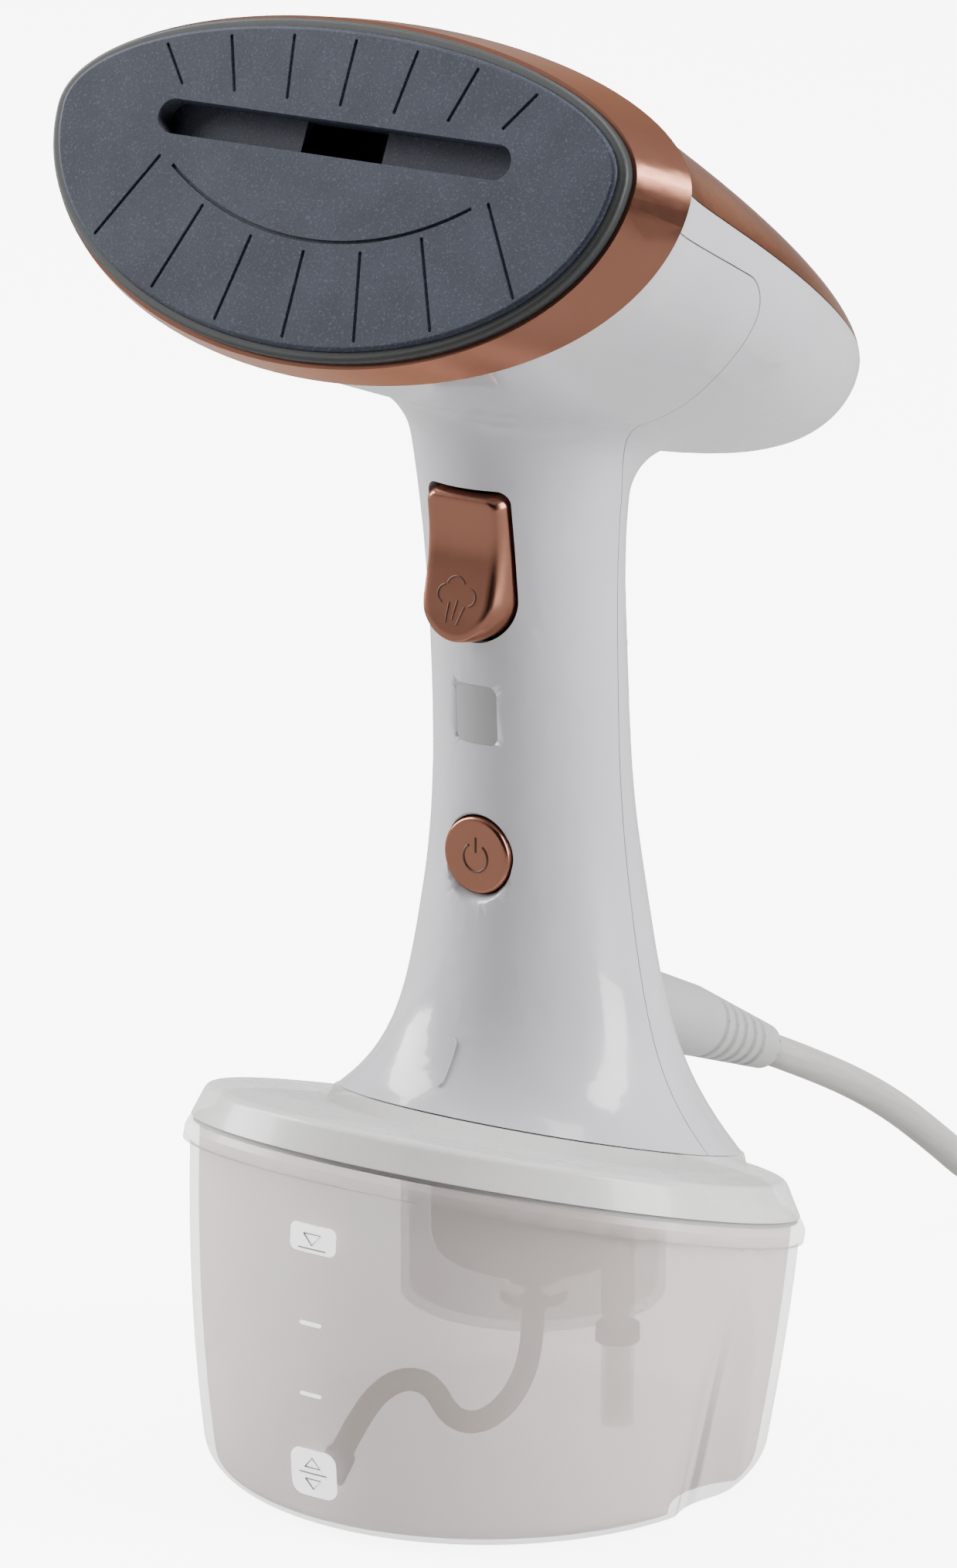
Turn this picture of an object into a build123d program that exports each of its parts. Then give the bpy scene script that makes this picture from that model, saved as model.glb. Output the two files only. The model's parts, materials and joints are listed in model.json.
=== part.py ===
from build123d import *
import os
from math import atan2, cos, degrees, pi, radians, sin, tan

os.makedirs("parts", exist_ok=True)

# ---------------------------------------------------------------- driving dimensions (mm, degrees)
# Frame: origin on the floor under the tank, +Z up, the soleplate faces -Y, X = 0 is the symmetry plane.

# Soleplate face and head
FACE_Y, FACE_Z = -51.9, 268.3  # middle of the steam slot
HEAD_TILT = 24.3  # the head slopes down towards its rear
HEAD_LENGTH = 155.5  # from the bezel to the rear tip
HEAD_HALF_WIDTH = 66.0
HEAD_RISE = 25.5  # above the widest line
HEAD_DROP = 40.7  # below the widest line
HEAD_FLARE = 4.5  # extra half width where the head meets the bezel
HEAD_SAG = 5.5  # how far the widest line sinks along the head
HEAD_STATIONS = (0, 0.04, 0.1, 0.2, 0.35, 0.5, 0.65, 0.78, 0.88, 0.95, 0.985)
NECK_FILLET = 12.0
WALL = 2.4  # moulded shells
SEAM = 0.25  # parting line between shells
FIT = 0.3  # clearance between pieces that move on each other

# Plate, its surround and the bezel, as half width, rise and drop of their outlines
PLATE_HALF_WIDTH, PLATE_RISE, PLATE_DROP = 62.8, 21.0, 38.6
PLATE_THICKNESS = 6.0
SURROUND_WIDTH = 1.8
SURROUND_BACK = 0.8  # how far the surround sits behind the plate face
BEZEL_FRONT, BEZEL_BACK = 3.0, 12.0  # behind the plate face
BEZEL_STEP = 0.9  # bezel's front edge outside the surround
BEZEL_HALF_WIDTH, BEZEL_RISE, BEZEL_DROP = 71.6, 25.9, 42.0
SLOT_HALF_WIDTH, SLOT_HEIGHT, SLOT_SHIFT = 40.0, 6.6, 0.55
SLOT_FLOOR = 4.2  # depth of the recess
STEAM_PORT_WIDTH = 18.4
GROOVE_WIDTH, GROOVE_DEPTH = 0.7, 0.5
TOP_GROOVES, TOP_GROOVE_PITCH, TOP_GROOVE_START = 7, 12.1, 6.6
LOW_GROOVES, LOW_GROOVE_PITCH, LOW_ARC_RADIUS, LOW_ARC_LOW = 7, 15.9, 58.0, -20.4
LOW_GROOVE_START = 12.4  # pitch of the low grooves' inner ends
GROOVE_MARGIN, GROOVE_SPREAD = 1.6, 1.16
ARC_HALF_WIDTH, ARC_HIGH, ARC_RADIUS = 34.0, -8.4, 62.0

# Handle: height, centre y, half width, half depth and tilt of each section
SEAT_TILT = 16.7  # the tank's top slopes down towards the rear
DOCK_Y, DOCK_Z = 14.0, 64.0  # centre of the handle's foot
FOOT_RADIUS = 40.0
HANDLE_SECTIONS = (
    (DOCK_Z, DOCK_Y, FOOT_RADIUS, FOOT_RADIUS, SEAT_TILT),
    (68.5, 13.6, 36.0, 36.0, 15.0),
    (75.0, 13.0, 31.5, 31.5, 12.0),
    (84.0, 12.6, 27.6, 27.0, 8.0),
    (97.0, 12.4, 24.4, 23.4, 4.0),
    (115.0, 12.2, 21.6, 20.4, 0.0),
    (140.0, 11.2, 19.5, 18.3, 0.0),
    (165.0, 9.8, 19.2, 18.2, 0.0),
    (185.0, 8.6, 19.8, 19.0, 0.0),
    (200.0, 8.6, 21.5, 21.0, 0.0),
    (225.0, 8.6, 25.0, 22.0, 0.0),
)

# Seams of the shells: top cover line and the front-to-rear parting line
COVER_LINE, COVER_SLOPE = 3.4, 2.1  # height at the plate face, degrees down towards the rear
PART_LINE = -4.5  # along the head's side
PART_TURN = 58.0  # where it turns down, behind the plate face
PART_NECK = ((-0.5, 222.0), (12.0, 196.0), (12.6, 150.0), (14.0, 30.0))  # y, z down the neck
PART_RADII = (13.0, 25.0, 30.0, 200.0)

# Trigger and its parts
TRIGGER_WIDTH, TRIGGER_LOW, TRIGGER_HIGH = 18.0, 165.3, 195.0
TRIGGER_TOP_Y, TRIGGER_LOW_Y, TRIGGER_BACK_Y = -12.6, -15.0, -5.6
TRIGGER_TAPER = 8.0
TRIGGER_CORNER = 2.5
TRIGGER_GAP = 0.6
HINGE_Y, HINGE_Z, PIN_RADIUS, PIN_LENGTH = -4.0, 191.5, 1.2, 28.0
LUG_X, LUG_WIDTH, LUG_RADIUS = 7.2, 2.6, 2.6
PIN_CLEARANCE = 0.05

# Window, set button, alignment mark
WINDOW_Z, WINDOW_WIDTH, WINDOW_HEIGHT, WINDOW_CORNER, WINDOW_DEPTH = 150.4, 9.4, 11.6, 1.8, 1.0
BUTTON_Z, BUTTON_RADIUS, BUTTON_FRONT_Y, BUTTON_LENGTH = 122.3, 7.6, -7.4, 5.6
BUTTON_FLANGE, BUTTON_FLANGE_WIDTH, BUTTON_EDGE, BUTTON_TRAVEL = 1.2, 1.1, 0.8, 0.8
DISH_RADIUS, DISH_LOW_Y, DISH_TOP_Y = 9.9, -6.2, -8.8
MARK_Z, MARK_WIDTH, MARK_HEIGHT, MARK_PROUD = 83.5, 1.8, 8.0, 0.5

# Circuit board and switches
BOARD_Y, BOARD_THICKNESS, BOARD_WIDTH, BOARD_LOW, BOARD_HIGH = 2.0, 1.6, 15.0, 110.0, 183.0
LED_RADIUS, LED_LENGTH = 2.5, 5.0
SWITCH_SIZE, TRIGGER_SWITCH_DEPTH, SET_SWITCH_DEPTH = 6.0, 3.4, 1.7
PLUNGER_RADIUS, PLUNGER_GAP, SWITCH_BASE, TRIGGER_TRAVEL = 1.5, 0.2, 0.3, 1.8
TRIGGER_SWITCH_Z = 171.5
SPRING_Z, SPRING_RADIUS, SPRING_WIRE, SPRING_TURNS = 180.0, 2.2, 0.3, 5

# Pump
PUMP_LOW, PUMP_HIGH = 100.0, 150.0
PUMP_RADIUS, PUMP_BORE = 5.6, 4.0
WINDING_WIDTH, WINDING_DEPTH, WINDING_LOW, WINDING_HIGH = 19.0, 15.0, 112.0, 136.0
PISTON_LOW, PISTON_LENGTH, PISTON_STROKE = 108.0, 16.0, 3.0
PUMP_CAP = 4.0  # closed ends of the pump's bore
TUBE_OUTER, TUBE_INNER = 2.8, 1.5  # radii of the water tubes
BARB_HEIGHT = 6.0

# Steam chamber
CHAMBER_HALF_WIDTH, CHAMBER_RISE, CHAMBER_DROP = 50.0, 12.5, 27.0
CHAMBER_FRONT, CHAMBER_DEPTH, CHAMBER_FLOOR = 8.0, 22.0, 7.0
CHAMBER_WALL, SEAL_WIDTH = 4.0, 3.0
HEATER_RADIUS, HEATER_HALF_SPAN, HEATER_LEG, HEATER_TOP = 3.2, 26.0, 16.0, 2.0
CHAMBER_INLET = -21.5  # height of the water inlet on the chamber's back
SCREW_RADIUS, SCREW_HEAD_RADIUS, SCREW_HEAD = 1.2, 2.3, 1.6
SHELL_SCREWS = ((92.0, 31.0), (160.0, 21.8))  # height and y of the recess floor, on both sides
SCREW_X, BOSS_RADIUS, BOSS_MEET_Y, SCREW_BITE = 11.5, 2.8, 14.0, 8.0

# Tank
RIM_Y, RIM_Z, RIM_RADIUS = -0.8, 55.9, 61.1
CORNER_HEIGHT, CORNER_RADIUS, CORNER_SHIFT = 8.9, 56.9, -2.1
TANK_SECTIONS = ((0.0, -4.0, 54.4, 0.0), (28.0, -2.8, 57.9, 6.0), (RIM_Z, RIM_Y, RIM_RADIUS - 1.1, SEAT_TILT))
TANK_WALL, TANK_FLOOR, TANK_EDGE = 1.8, 2.2, 6.0
BEAD_HEIGHT = 2.4
SEAL_LOW, SEAL_HEIGHT, SEAL_INSET = 1.4, 1.0, 0.9
COLLAR_RADIUS, COLLAR_TOP_RADIUS, SEAT_GAP = 42.6, 40.6, 0.3
GRIP_RADIUS, GRIP_DEPTH, GRIP_HEIGHT, GRIP_Y = 16.0, 5.0, 44.0, -5.0
CUP_Y, CUP_RADIUS, CUP_WALL, CUP_LOW = 12.0, 26.0, 1.6, 29.5
SPIGOT_RADIUS, SPIGOT_LOW, SPIGOT_EDGE = 20.0, 36.5, 5.0
NOZZLE_RADIUS, NOZZLE_LOW, SOCKET_WALL, SOCKET_HIGH = 4.0, 31.9, 1.8, 35.6
RING_WIRE, RING_Z = 0.6, 33.8
SOCKET_LOW, CONNECTOR_RADIUS = 27.2, 3.0
LEVEL_MARKS = ((59.5, 10.6, 5.4), (42.8, 5.0, 0.7), (28.6, 5.0, 0.7), (12.5, 10.6, 9.6))  # z, width, height
MARK_INK = 0.15
VENT_X, VENT_Y, VENT_RADIUS, VENT_LOW, VENT_CAP_RADIUS, VENT_CAP_Z = 30.0, -2.0, 3.2, 12.0, 4.3, 29.0

# Suction hose in the tank, as points that its runs join
HOSE_RADIUS = 2.25
HOSE_ROUTE = (
    (0, 12.0, 26.2), (0, 12.0, 16.0), (-0.3, 5.8, 7.9), (-0.9, -4.1, 5.3), (-1.6, -13.5, 9.2),
    (-2.2, -18.6, 18.0), (-3.0, -28.0, 21.9), (-3.9, -37.9, 19.3), (-4.9, -44.0, 11.2),
)
FILTER_RADIUS, FILTER_LENGTH = 3.0, 6.2

# Mains lead, from the strain relief's end to the coil's straight lead-in
CORD_RADIUS = 3.4
RELIEF_ANGLE = 25.1  # below the horizontal
RELIEF_END = (91.3, 58.4)  # y, z
RELIEF_LENGTH, RELIEF_BASE, RELIEF_TIP = 60.0, 7.2, 4.7
RELIEF_RIBS, RIB_START, RIB_PITCH, RIB_GAP, RIB_DEPTH = 5, 7.0, 4.2, 1.3, 1.2
RELIEF_FLANGE, RELIEF_FLANGE_WIDTH = 2.0, 1.8
COIL_Y, COIL_X, COIL_OUTER, COIL_INNER, COIL_ROWS = 232.0, 50.0, 48.5, 25.5, 2
LEAD_IN, LEAD_OUT, COIL_GAP = 28.0, 31.0, 0.2
TIE_WIDTH, TIE_THICKNESS = 9.0, 1.2
FLOOR_LEAD_X, FLOOR_LEAD_Z = COIL_X - COIL_OUTER, CORD_RADIUS + COIL_GAP / 2
FIRST_RUN = 25.1  # leaves the strain relief in line with it
CORD_ROUTE = (
    (0, *RELIEF_END),
    (0, RELIEF_END[0] + FIRST_RUN * cos(radians(RELIEF_ANGLE)), RELIEF_END[1] - FIRST_RUN * sin(radians(RELIEF_ANGLE))),
    (0.3, 137.0, 35.0), (0.8, 155.0, 22.2), (1.1, 173.0, 8.3),
    (FLOOR_LEAD_X, 188.5, FLOOR_LEAD_Z), (FLOOR_LEAD_X, COIL_Y - LEAD_IN, FLOOR_LEAD_Z),
)
ROUND_SHARE = 0.45  # an arc's tangent length as a share of its shorter run
PLUG_RADIUS, PLUG_THICKNESS, PLUG_LENGTH, PLUG_TAIL = 18.0, 21.0, 26.0, 24.0
PLUG_PIN_RADIUS, PLUG_PIN_LENGTH, PLUG_PIN_PITCH = 2.4, 19.0, 19.0

# ---------------------------------------------------------------- planes and shared shapes
FACE = Plane(origin=(0, FACE_Y, FACE_Z), x_dir=(1, 0, 0), z_dir=(0, -cos(radians(HEAD_TILT)), sin(radians(HEAD_TILT))))
RIM = Plane(origin=(0, RIM_Y, RIM_Z), x_dir=(1, 0, 0), z_dir=(0, sin(radians(SEAT_TILT)), cos(radians(SEAT_TILT))))
FOOT = Plane(origin=(0, DOCK_Y, DOCK_Z), x_dir=(1, 0, 0), z_dir=(0, sin(radians(SEAT_TILT)), cos(radians(SEAT_TILT))))
FRONT = Plane(origin=(0, 0, 0), x_dir=(1, 0, 0), z_dir=(0, -1, 0))  # faces -Y; local y is height
FAR = 400.0  # larger than the whole object
FOOT_SHIFT = RIM.to_local_coords(FOOT.origin).Y  # the foot's centre in the rim's plane
FOOT_HEIGHT = RIM.to_local_coords(FOOT.origin).Z


def save(part, name):
    """Label a finished piece and write its STEP file."""
    part.label = name
    export_step(part, f"parts/{name}.step")


def oval(plane, half_width, rise, drop, centre=0.0):
    """Two half ellipses that share their widest line."""
    with BuildSketch(plane) as outline:
        with BuildLine():
            EllipticalCenterArc((0, centre), half_width, rise, 0, arc_size=180)
            EllipticalCenterArc((0, centre), half_width, drop, 180, arc_size=180)
        make_face()
    return outline.sketch


def disc(plane, radius, centre_y=0.0):
    """A round section, centred at centre_y in its plane."""
    with BuildSketch(plane) as outline:
        with Locations((0, centre_y)):
            Circle(radius)
    return outline.sketch


def head_sections(inset):
    """Sections of the head from the bezel to its rear tip, drawn in by inset."""
    length = HEAD_LENGTH - inset
    sections = []
    for s in HEAD_STATIONS:
        half_width = HEAD_HALF_WIDTH * (1 - s**1.73) ** 0.556 + HEAD_FLARE * (1 - s) ** 20 - inset
        rise = HEAD_RISE * (1 - s**1.07) ** 0.385 - inset
        drop = HEAD_DROP * (1 - s) ** 0.392 - inset
        sections.append(oval(FACE.offset(-BEZEL_BACK - s * length), half_width, rise, drop, -HEAD_SAG * s))
    tip = FACE.offset(-BEZEL_BACK - length).from_local_coords((0, -HEAD_SAG, 0))
    return [*sections, Vertex(tip.X, tip.Y, tip.Z)]


def handle_sections(inset):
    """Sections of the handle from its foot up into the head, drawn in by inset."""
    sections = []
    for z, y, half_width, half_depth, tilt in HANDLE_SECTIONS:
        plane = Plane(origin=(0, y, z), x_dir=(1, 0, 0), z_dir=(0, sin(radians(tilt)), cos(radians(tilt))))
        with BuildSketch(plane) as outline:
            Ellipse(half_width - inset, half_depth - inset)
        sections.append(outline.sketch)
    return sections


def tank_sections(inset):
    """Sections of the tank's wall from the floor to the rim, drawn in by inset."""
    return [
        disc(Plane(origin=(0, y, z), x_dir=(1, 0, 0), z_dir=(0, sin(radians(t)), cos(radians(t)))), radius - inset)
        for z, y, radius, t in TANK_SECTIONS
    ]


def rim_section(height, inset=0.0):
    """The tank's sloping shoulder at a height above the rim's plane."""
    share = height / CORNER_HEIGHT
    radius = RIM_RADIUS + (CORNER_RADIUS - RIM_RADIUS) * share
    return disc(RIM.offset(height), radius - inset, CORNER_SHIFT * share)


def arc_radii(route):
    """For each corner of a route, the arc that its shorter run allows."""
    radii = []
    for before, corner, after in zip(route, route[1:], route[2:]):
        first, second = Vector(*corner) - Vector(*before), Vector(*after) - Vector(*corner)
        half_turn = radians(first.get_angle(second)) / 2
        radii.append(ROUND_SHARE * min(first.length, second.length) / tan(half_turn))
    return radii


def tube(route, radius, bore=0.0):
    """A round tube along straight runs joined by tangent arcs."""
    with BuildPart() as piece:
        with BuildLine():
            path = FilletPolyline(*route, radius=arc_radii(route))
        with BuildSketch(Plane(origin=route[0], z_dir=path % 0)):
            Circle(radius)
            if bore:
                Circle(bore, mode=Mode.SUBTRACT)
        sweep()
    section = pi * (radius**2 - bore**2)
    print("tube", "length", round(path.length, 1), "volume ratio", round(piece.part.volume / section / path.length, 4),
          "radii", [round(r, 1) for r in arc_radii(route)])
    return piece.part


# ---------------------------------------------------------------- shells of the head and handle
with BuildPart() as body:  # outer form with the neck's soft corner
    loft(head_sections(0))
    loft(handle_sections(0))
    neck = body.edges().filter_by(lambda e: e.bounding_box().min.Z > 190 and e.bounding_box().max.Z < 228)
    fillet(neck.filter_by(lambda e: e.length > NECK_FILLET), NECK_FILLET)

with BuildPart() as hollow:  # inner form
    loft(head_sections(WALL))
    loft(handle_sections(WALL))

with BuildPart() as skin:
    add(body.part)
    add(hollow.part, mode=Mode.SUBTRACT)



def front_region(shift):
    """Side view of everything ahead of the parting line, moved back and up by shift."""
    start = FACE.from_local_coords((0, PART_LINE + shift, 2 * BEZEL_BACK))
    turn = FACE.from_local_coords((0, PART_LINE + shift, -PART_TURN - shift))
    neck = [(y + shift, z) for y, z in PART_NECK]
    with BuildSketch(Plane.YZ) as region:
        with BuildLine():
            seam = FilletPolyline((start.Y, start.Z), (turn.Y, turn.Z), *neck, radius=PART_RADII)
            Polyline(seam @ 1, (-FAR / 2, neck[-1][1]), (-FAR / 2, start.Z), seam @ 0)
        make_face()
    return region.sketch


cover_plane = Plane(
    origin=FACE.from_local_coords((0, COVER_LINE, 0)),
    x_dir=(1, 0, 0),
    z_dir=(0, sin(radians(HEAD_TILT + COVER_SLOPE)), cos(radians(HEAD_TILT + COVER_SLOPE))),
)

with BuildPart() as top_cover:
    add(skin.part)
    split(bisect_by=cover_plane.offset(SEAM), keep=Keep.TOP)

with BuildPart() as rear_half:
    add(skin.part)
    split(bisect_by=cover_plane, keep=Keep.BOTTOM)
    extrude(front_region(SEAM), amount=FAR / 2, both=True, mode=Mode.SUBTRACT)

with BuildPart() as front_half:
    add(skin.part)
    extrude(front_region(0), amount=FAR / 2, both=True, mode=Mode.INTERSECT)


def trigger_outline(grow):
    """Front view of the trigger: straight top with round corners and a half-round lower end."""
    half = TRIGGER_WIDTH / 2 + grow
    shoulder = TRIGGER_LOW + TRIGGER_WIDTH / 2
    with BuildSketch(FRONT.offset(-TRIGGER_BACK_Y)) as outline:
        with BuildLine():
            Polyline((-half, shoulder), (-half, TRIGGER_HIGH + grow), (half, TRIGGER_HIGH + grow), (half, shoulder))
            ThreePointArc((half, shoulder), (0, TRIGGER_LOW - grow), (-half, shoulder))
        make_face()
        fillet(outline.vertices().group_by(Axis.Y)[-1], TRIGGER_CORNER)
    return outline.sketch


def window_outline(grow):
    """Front view of the indicator window."""
    with BuildSketch(FRONT) as outline:
        with Locations((0, WINDOW_Z)):
            RectangleRounded(WINDOW_WIDTH + 2 * grow, WINDOW_HEIGHT + 2 * grow, WINDOW_CORNER)
    return outline.sketch


def on_front(y, z, radius):
    """A round outline facing the front, in the plane at y."""
    with BuildSketch(FRONT.offset(-y)) as outline:
        with Locations((0, z)):
            Circle(radius)
    return outline.sketch


with BuildPart() as handle_rind:  # outer millimetre of the handle, for the flush window
    add(body.part)
    loft(handle_sections(WINDOW_DEPTH), mode=Mode.SUBTRACT)

with BuildPart() as screw_posts:  # bosses that the shell screws run through
    for screw_z, recess_y in SHELL_SCREWS:
        for side in (-1, 1):
            with BuildSketch(Plane.XZ.offset(FAR / 4)):
                with Locations((side * SCREW_X, screw_z)):
                    Circle(BOSS_RADIUS)
            extrude(amount=-FAR / 2)
    add(body.part, mode=Mode.INTERSECT)

with BuildPart() as front_posts:
    add(screw_posts.part)
    split(bisect_by=Plane.XZ.offset(-BOSS_MEET_Y), keep=Keep.TOP)

with BuildPart() as rear_posts:
    add(screw_posts.part)
    split(bisect_by=Plane.XZ.offset(-BOSS_MEET_Y - SEAM), keep=Keep.BOTTOM)

with BuildPart() as front_shell:
    add(front_half.part)
    add(front_posts.part)
    extrude(trigger_outline(TRIGGER_GAP), amount=FAR / 8, mode=Mode.SUBTRACT)
    extrude(trigger_outline(TRIGGER_GAP), amount=TRIGGER_BACK_Y, mode=Mode.SUBTRACT)
    button_bore = BUTTON_RADIUS + FIT
    extrude(on_front(0, BUTTON_Z, button_bore), amount=FAR / 8, mode=Mode.SUBTRACT)
    dish = [on_front(DISH_LOW_Y, BUTTON_Z, button_bore), on_front(DISH_TOP_Y, BUTTON_Z, DISH_RADIUS)]
    loft(dish, mode=Mode.SUBTRACT)
    window_pocket = extrude(window_outline(PIN_CLEARANCE), amount=FAR / 8, mode=Mode.PRIVATE)
    add(window_pocket & handle_rind.part, mode=Mode.SUBTRACT)
    with BuildSketch(Plane.YZ.offset(-PIN_LENGTH / 2)):  # blind bores for the trigger's pin
        with Locations((HINGE_Y, HINGE_Z)):
            Circle(PIN_RADIUS)
    extrude(amount=PIN_LENGTH, mode=Mode.SUBTRACT)
    for screw_z, _ in SHELL_SCREWS:
        for side in (-1, 1):
            with BuildSketch(Plane.XZ.offset(-BOSS_MEET_Y)):
                with Locations((side * SCREW_X, screw_z)):
                    Circle(SCREW_RADIUS)
            extrude(amount=SCREW_BITE + FIT, mode=Mode.SUBTRACT)
save(front_shell.part, "front_shell")
save(top_cover.part, "top_cover")

with BuildPart() as alignment_mark:  # raised bar that lines the handle up with the tank
    with BuildSketch(FRONT):
        with Locations((0, MARK_Z)):
            SlotCenterToCenter(MARK_HEIGHT - MARK_WIDTH, MARK_WIDTH, rotation=90)
    extrude(amount=FAR / 8)
    add(loft(handle_sections(-MARK_PROUD), mode=Mode.PRIVATE), mode=Mode.INTERSECT)
    add(body.part, mode=Mode.SUBTRACT)
save(alignment_mark.part, "alignment_mark")

RELIEF_AXIS = Vector(0, -cos(radians(RELIEF_ANGLE)), sin(radians(RELIEF_ANGLE)))  # from its tip into the handle
RELIEF_TIP_POINT = Vector(0, *RELIEF_END)
RELIEF_TIP_PLANE = Plane(origin=RELIEF_TIP_POINT, x_dir=(1, 0, 0), z_dir=RELIEF_AXIS)

with BuildPart() as rear_shell:
    add(rear_half.part)
    add(rear_posts.part)
    with BuildSketch(RELIEF_TIP_PLANE):
        Circle(RELIEF_BASE + PIN_CLEARANCE)
    extrude(amount=RELIEF_LENGTH, mode=Mode.SUBTRACT)
    for screw_z, recess_y in SHELL_SCREWS:
        for side in (-1, 1):
            with BuildSketch(Plane.XZ.offset(-FAR / 8)):
                with Locations((side * SCREW_X, screw_z)):
                    Circle(SCREW_HEAD_RADIUS)
            extrude(amount=FAR / 8 - recess_y, mode=Mode.SUBTRACT)
            with BuildSketch(Plane.XZ.offset(-FAR / 8)):
                with Locations((side * SCREW_X, screw_z)):
                    Circle(SCREW_RADIUS)
            extrude(amount=FAR / 8 - BOSS_MEET_Y, mode=Mode.SUBTRACT)
save(rear_shell.part, "rear_shell")

with BuildPart() as shell_screws:
    for screw_z, recess_y in SHELL_SCREWS:
        for side in (-1, 1):
            with BuildSketch(Plane.XZ.offset(-recess_y - SCREW_HEAD)):
                with Locations((side * SCREW_X, screw_z)):
                    Circle(SCREW_HEAD_RADIUS)
                    RegularPolygon(SCREW_RADIUS * 0.8, 4, mode=Mode.SUBTRACT)
            extrude(amount=SCREW_HEAD)
            with BuildSketch(Plane.XZ.offset(-recess_y - SCREW_HEAD / 2)):
                with Locations((side * SCREW_X, screw_z)):
                    Circle(SCREW_RADIUS)
            extrude(amount=recess_y + SCREW_HEAD / 2 - BOSS_MEET_Y + SCREW_BITE)
save(shell_screws.part, "shell_screws")

# ---------------------------------------------------------------- soleplate, surround and bezel
PLATE = (PLATE_HALF_WIDTH, PLATE_RISE, PLATE_DROP)
SURROUND = tuple(size + SURROUND_WIDTH for size in PLATE)


def grown(outline, amount):
    """An oval's three sizes, larger by amount."""
    return tuple(size + amount for size in outline)


def groove(start, end):
    """A straight steam groove in the plate's face, from start to end."""
    middle = ((start[0] + end[0]) / 2, (start[1] + end[1]) / 2)
    run = Vector(end[0] - start[0], end[1] - start[1])
    turn = degrees(atan2(run.Y, run.X))
    with BuildSketch(FACE) as outline:
        with Locations(middle):
            SlotOverall(run.length, GROOVE_WIDTH, rotation=turn)
    return outline.sketch


def plate_edge(half_width, x, rise):
    """Height of a half ellipse at x."""
    return rise * (1 - (x / half_width) ** 2) ** 0.5


with BuildPart() as soleplate:
    extrude(oval(FACE, *PLATE), amount=-PLATE_THICKNESS)
    fillet(soleplate.faces().sort_by(Axis(FACE.origin, FACE.z_dir))[-1].edges(), SURROUND_BACK)
    with BuildSketch(FACE):
        with Locations((0, SLOT_SHIFT)):
            SlotOverall(2 * SLOT_HALF_WIDTH, SLOT_HEIGHT)
    extrude(amount=-SLOT_FLOOR, mode=Mode.SUBTRACT)
    with BuildSketch(FACE):
        with Locations((0, SLOT_SHIFT)):
            Rectangle(STEAM_PORT_WIDTH, SLOT_HEIGHT)
    extrude(amount=-PLATE_THICKNESS, mode=Mode.SUBTRACT)
    for k in range(TOP_GROOVES):
        number = k - TOP_GROOVES // 2
        x = number * TOP_GROOVE_PITCH
        x_end = GROOVE_SPREAD * x
        y_end = plate_edge(PLATE_HALF_WIDTH, x_end, PLATE_RISE) - GROOVE_MARGIN
        extrude(groove((x, TOP_GROOVE_START), (x_end, y_end)), amount=-GROOVE_DEPTH, mode=Mode.SUBTRACT)
    for k in range(LOW_GROOVES):
        number = k - LOW_GROOVES // 2
        x = LOW_GROOVE_START * number
        y_start = LOW_ARC_LOW + LOW_ARC_RADIUS - (LOW_ARC_RADIUS**2 - x**2) ** 0.5
        x_end = LOW_GROOVE_PITCH * number
        y_end = -plate_edge(PLATE_HALF_WIDTH, x_end, PLATE_DROP) + GROOVE_MARGIN
        extrude(groove((x, y_start), (x_end, y_end)), amount=-GROOVE_DEPTH, mode=Mode.SUBTRACT)
    with BuildSketch(FACE):  # shallow arc above the low grooves
        with BuildLine():
            RadiusArc((ARC_HALF_WIDTH, ARC_HIGH), (-ARC_HALF_WIDTH, ARC_HIGH), ARC_RADIUS)
        trace(line_width=GROOVE_WIDTH)
    extrude(amount=-GROOVE_DEPTH, mode=Mode.SUBTRACT)
save(soleplate.part, "soleplate")

with BuildPart() as plate_surround:
    extrude(oval(FACE.offset(-SURROUND_BACK), *SURROUND), amount=SURROUND_BACK - PLATE_THICKNESS)
    fillet(plate_surround.faces().sort_by(Axis(FACE.origin, FACE.z_dir))[-1].edges(), SURROUND_BACK)
    extrude(oval(FACE, *grown(PLATE, PIN_CLEARANCE)), amount=-PLATE_THICKNESS, mode=Mode.SUBTRACT)
save(plate_surround.part, "plate_surround")

with BuildPart() as bezel_ring:
    loft([
        oval(FACE.offset(-BEZEL_FRONT), *grown(SURROUND, BEZEL_STEP)),
        oval(FACE.offset(-BEZEL_BACK), BEZEL_HALF_WIDTH, BEZEL_RISE, BEZEL_DROP),
    ])
    extrude(oval(FACE, *grown(SURROUND, PIN_CLEARANCE)), amount=-BEZEL_BACK, mode=Mode.SUBTRACT)
save(bezel_ring.part, "bezel_ring")

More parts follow.
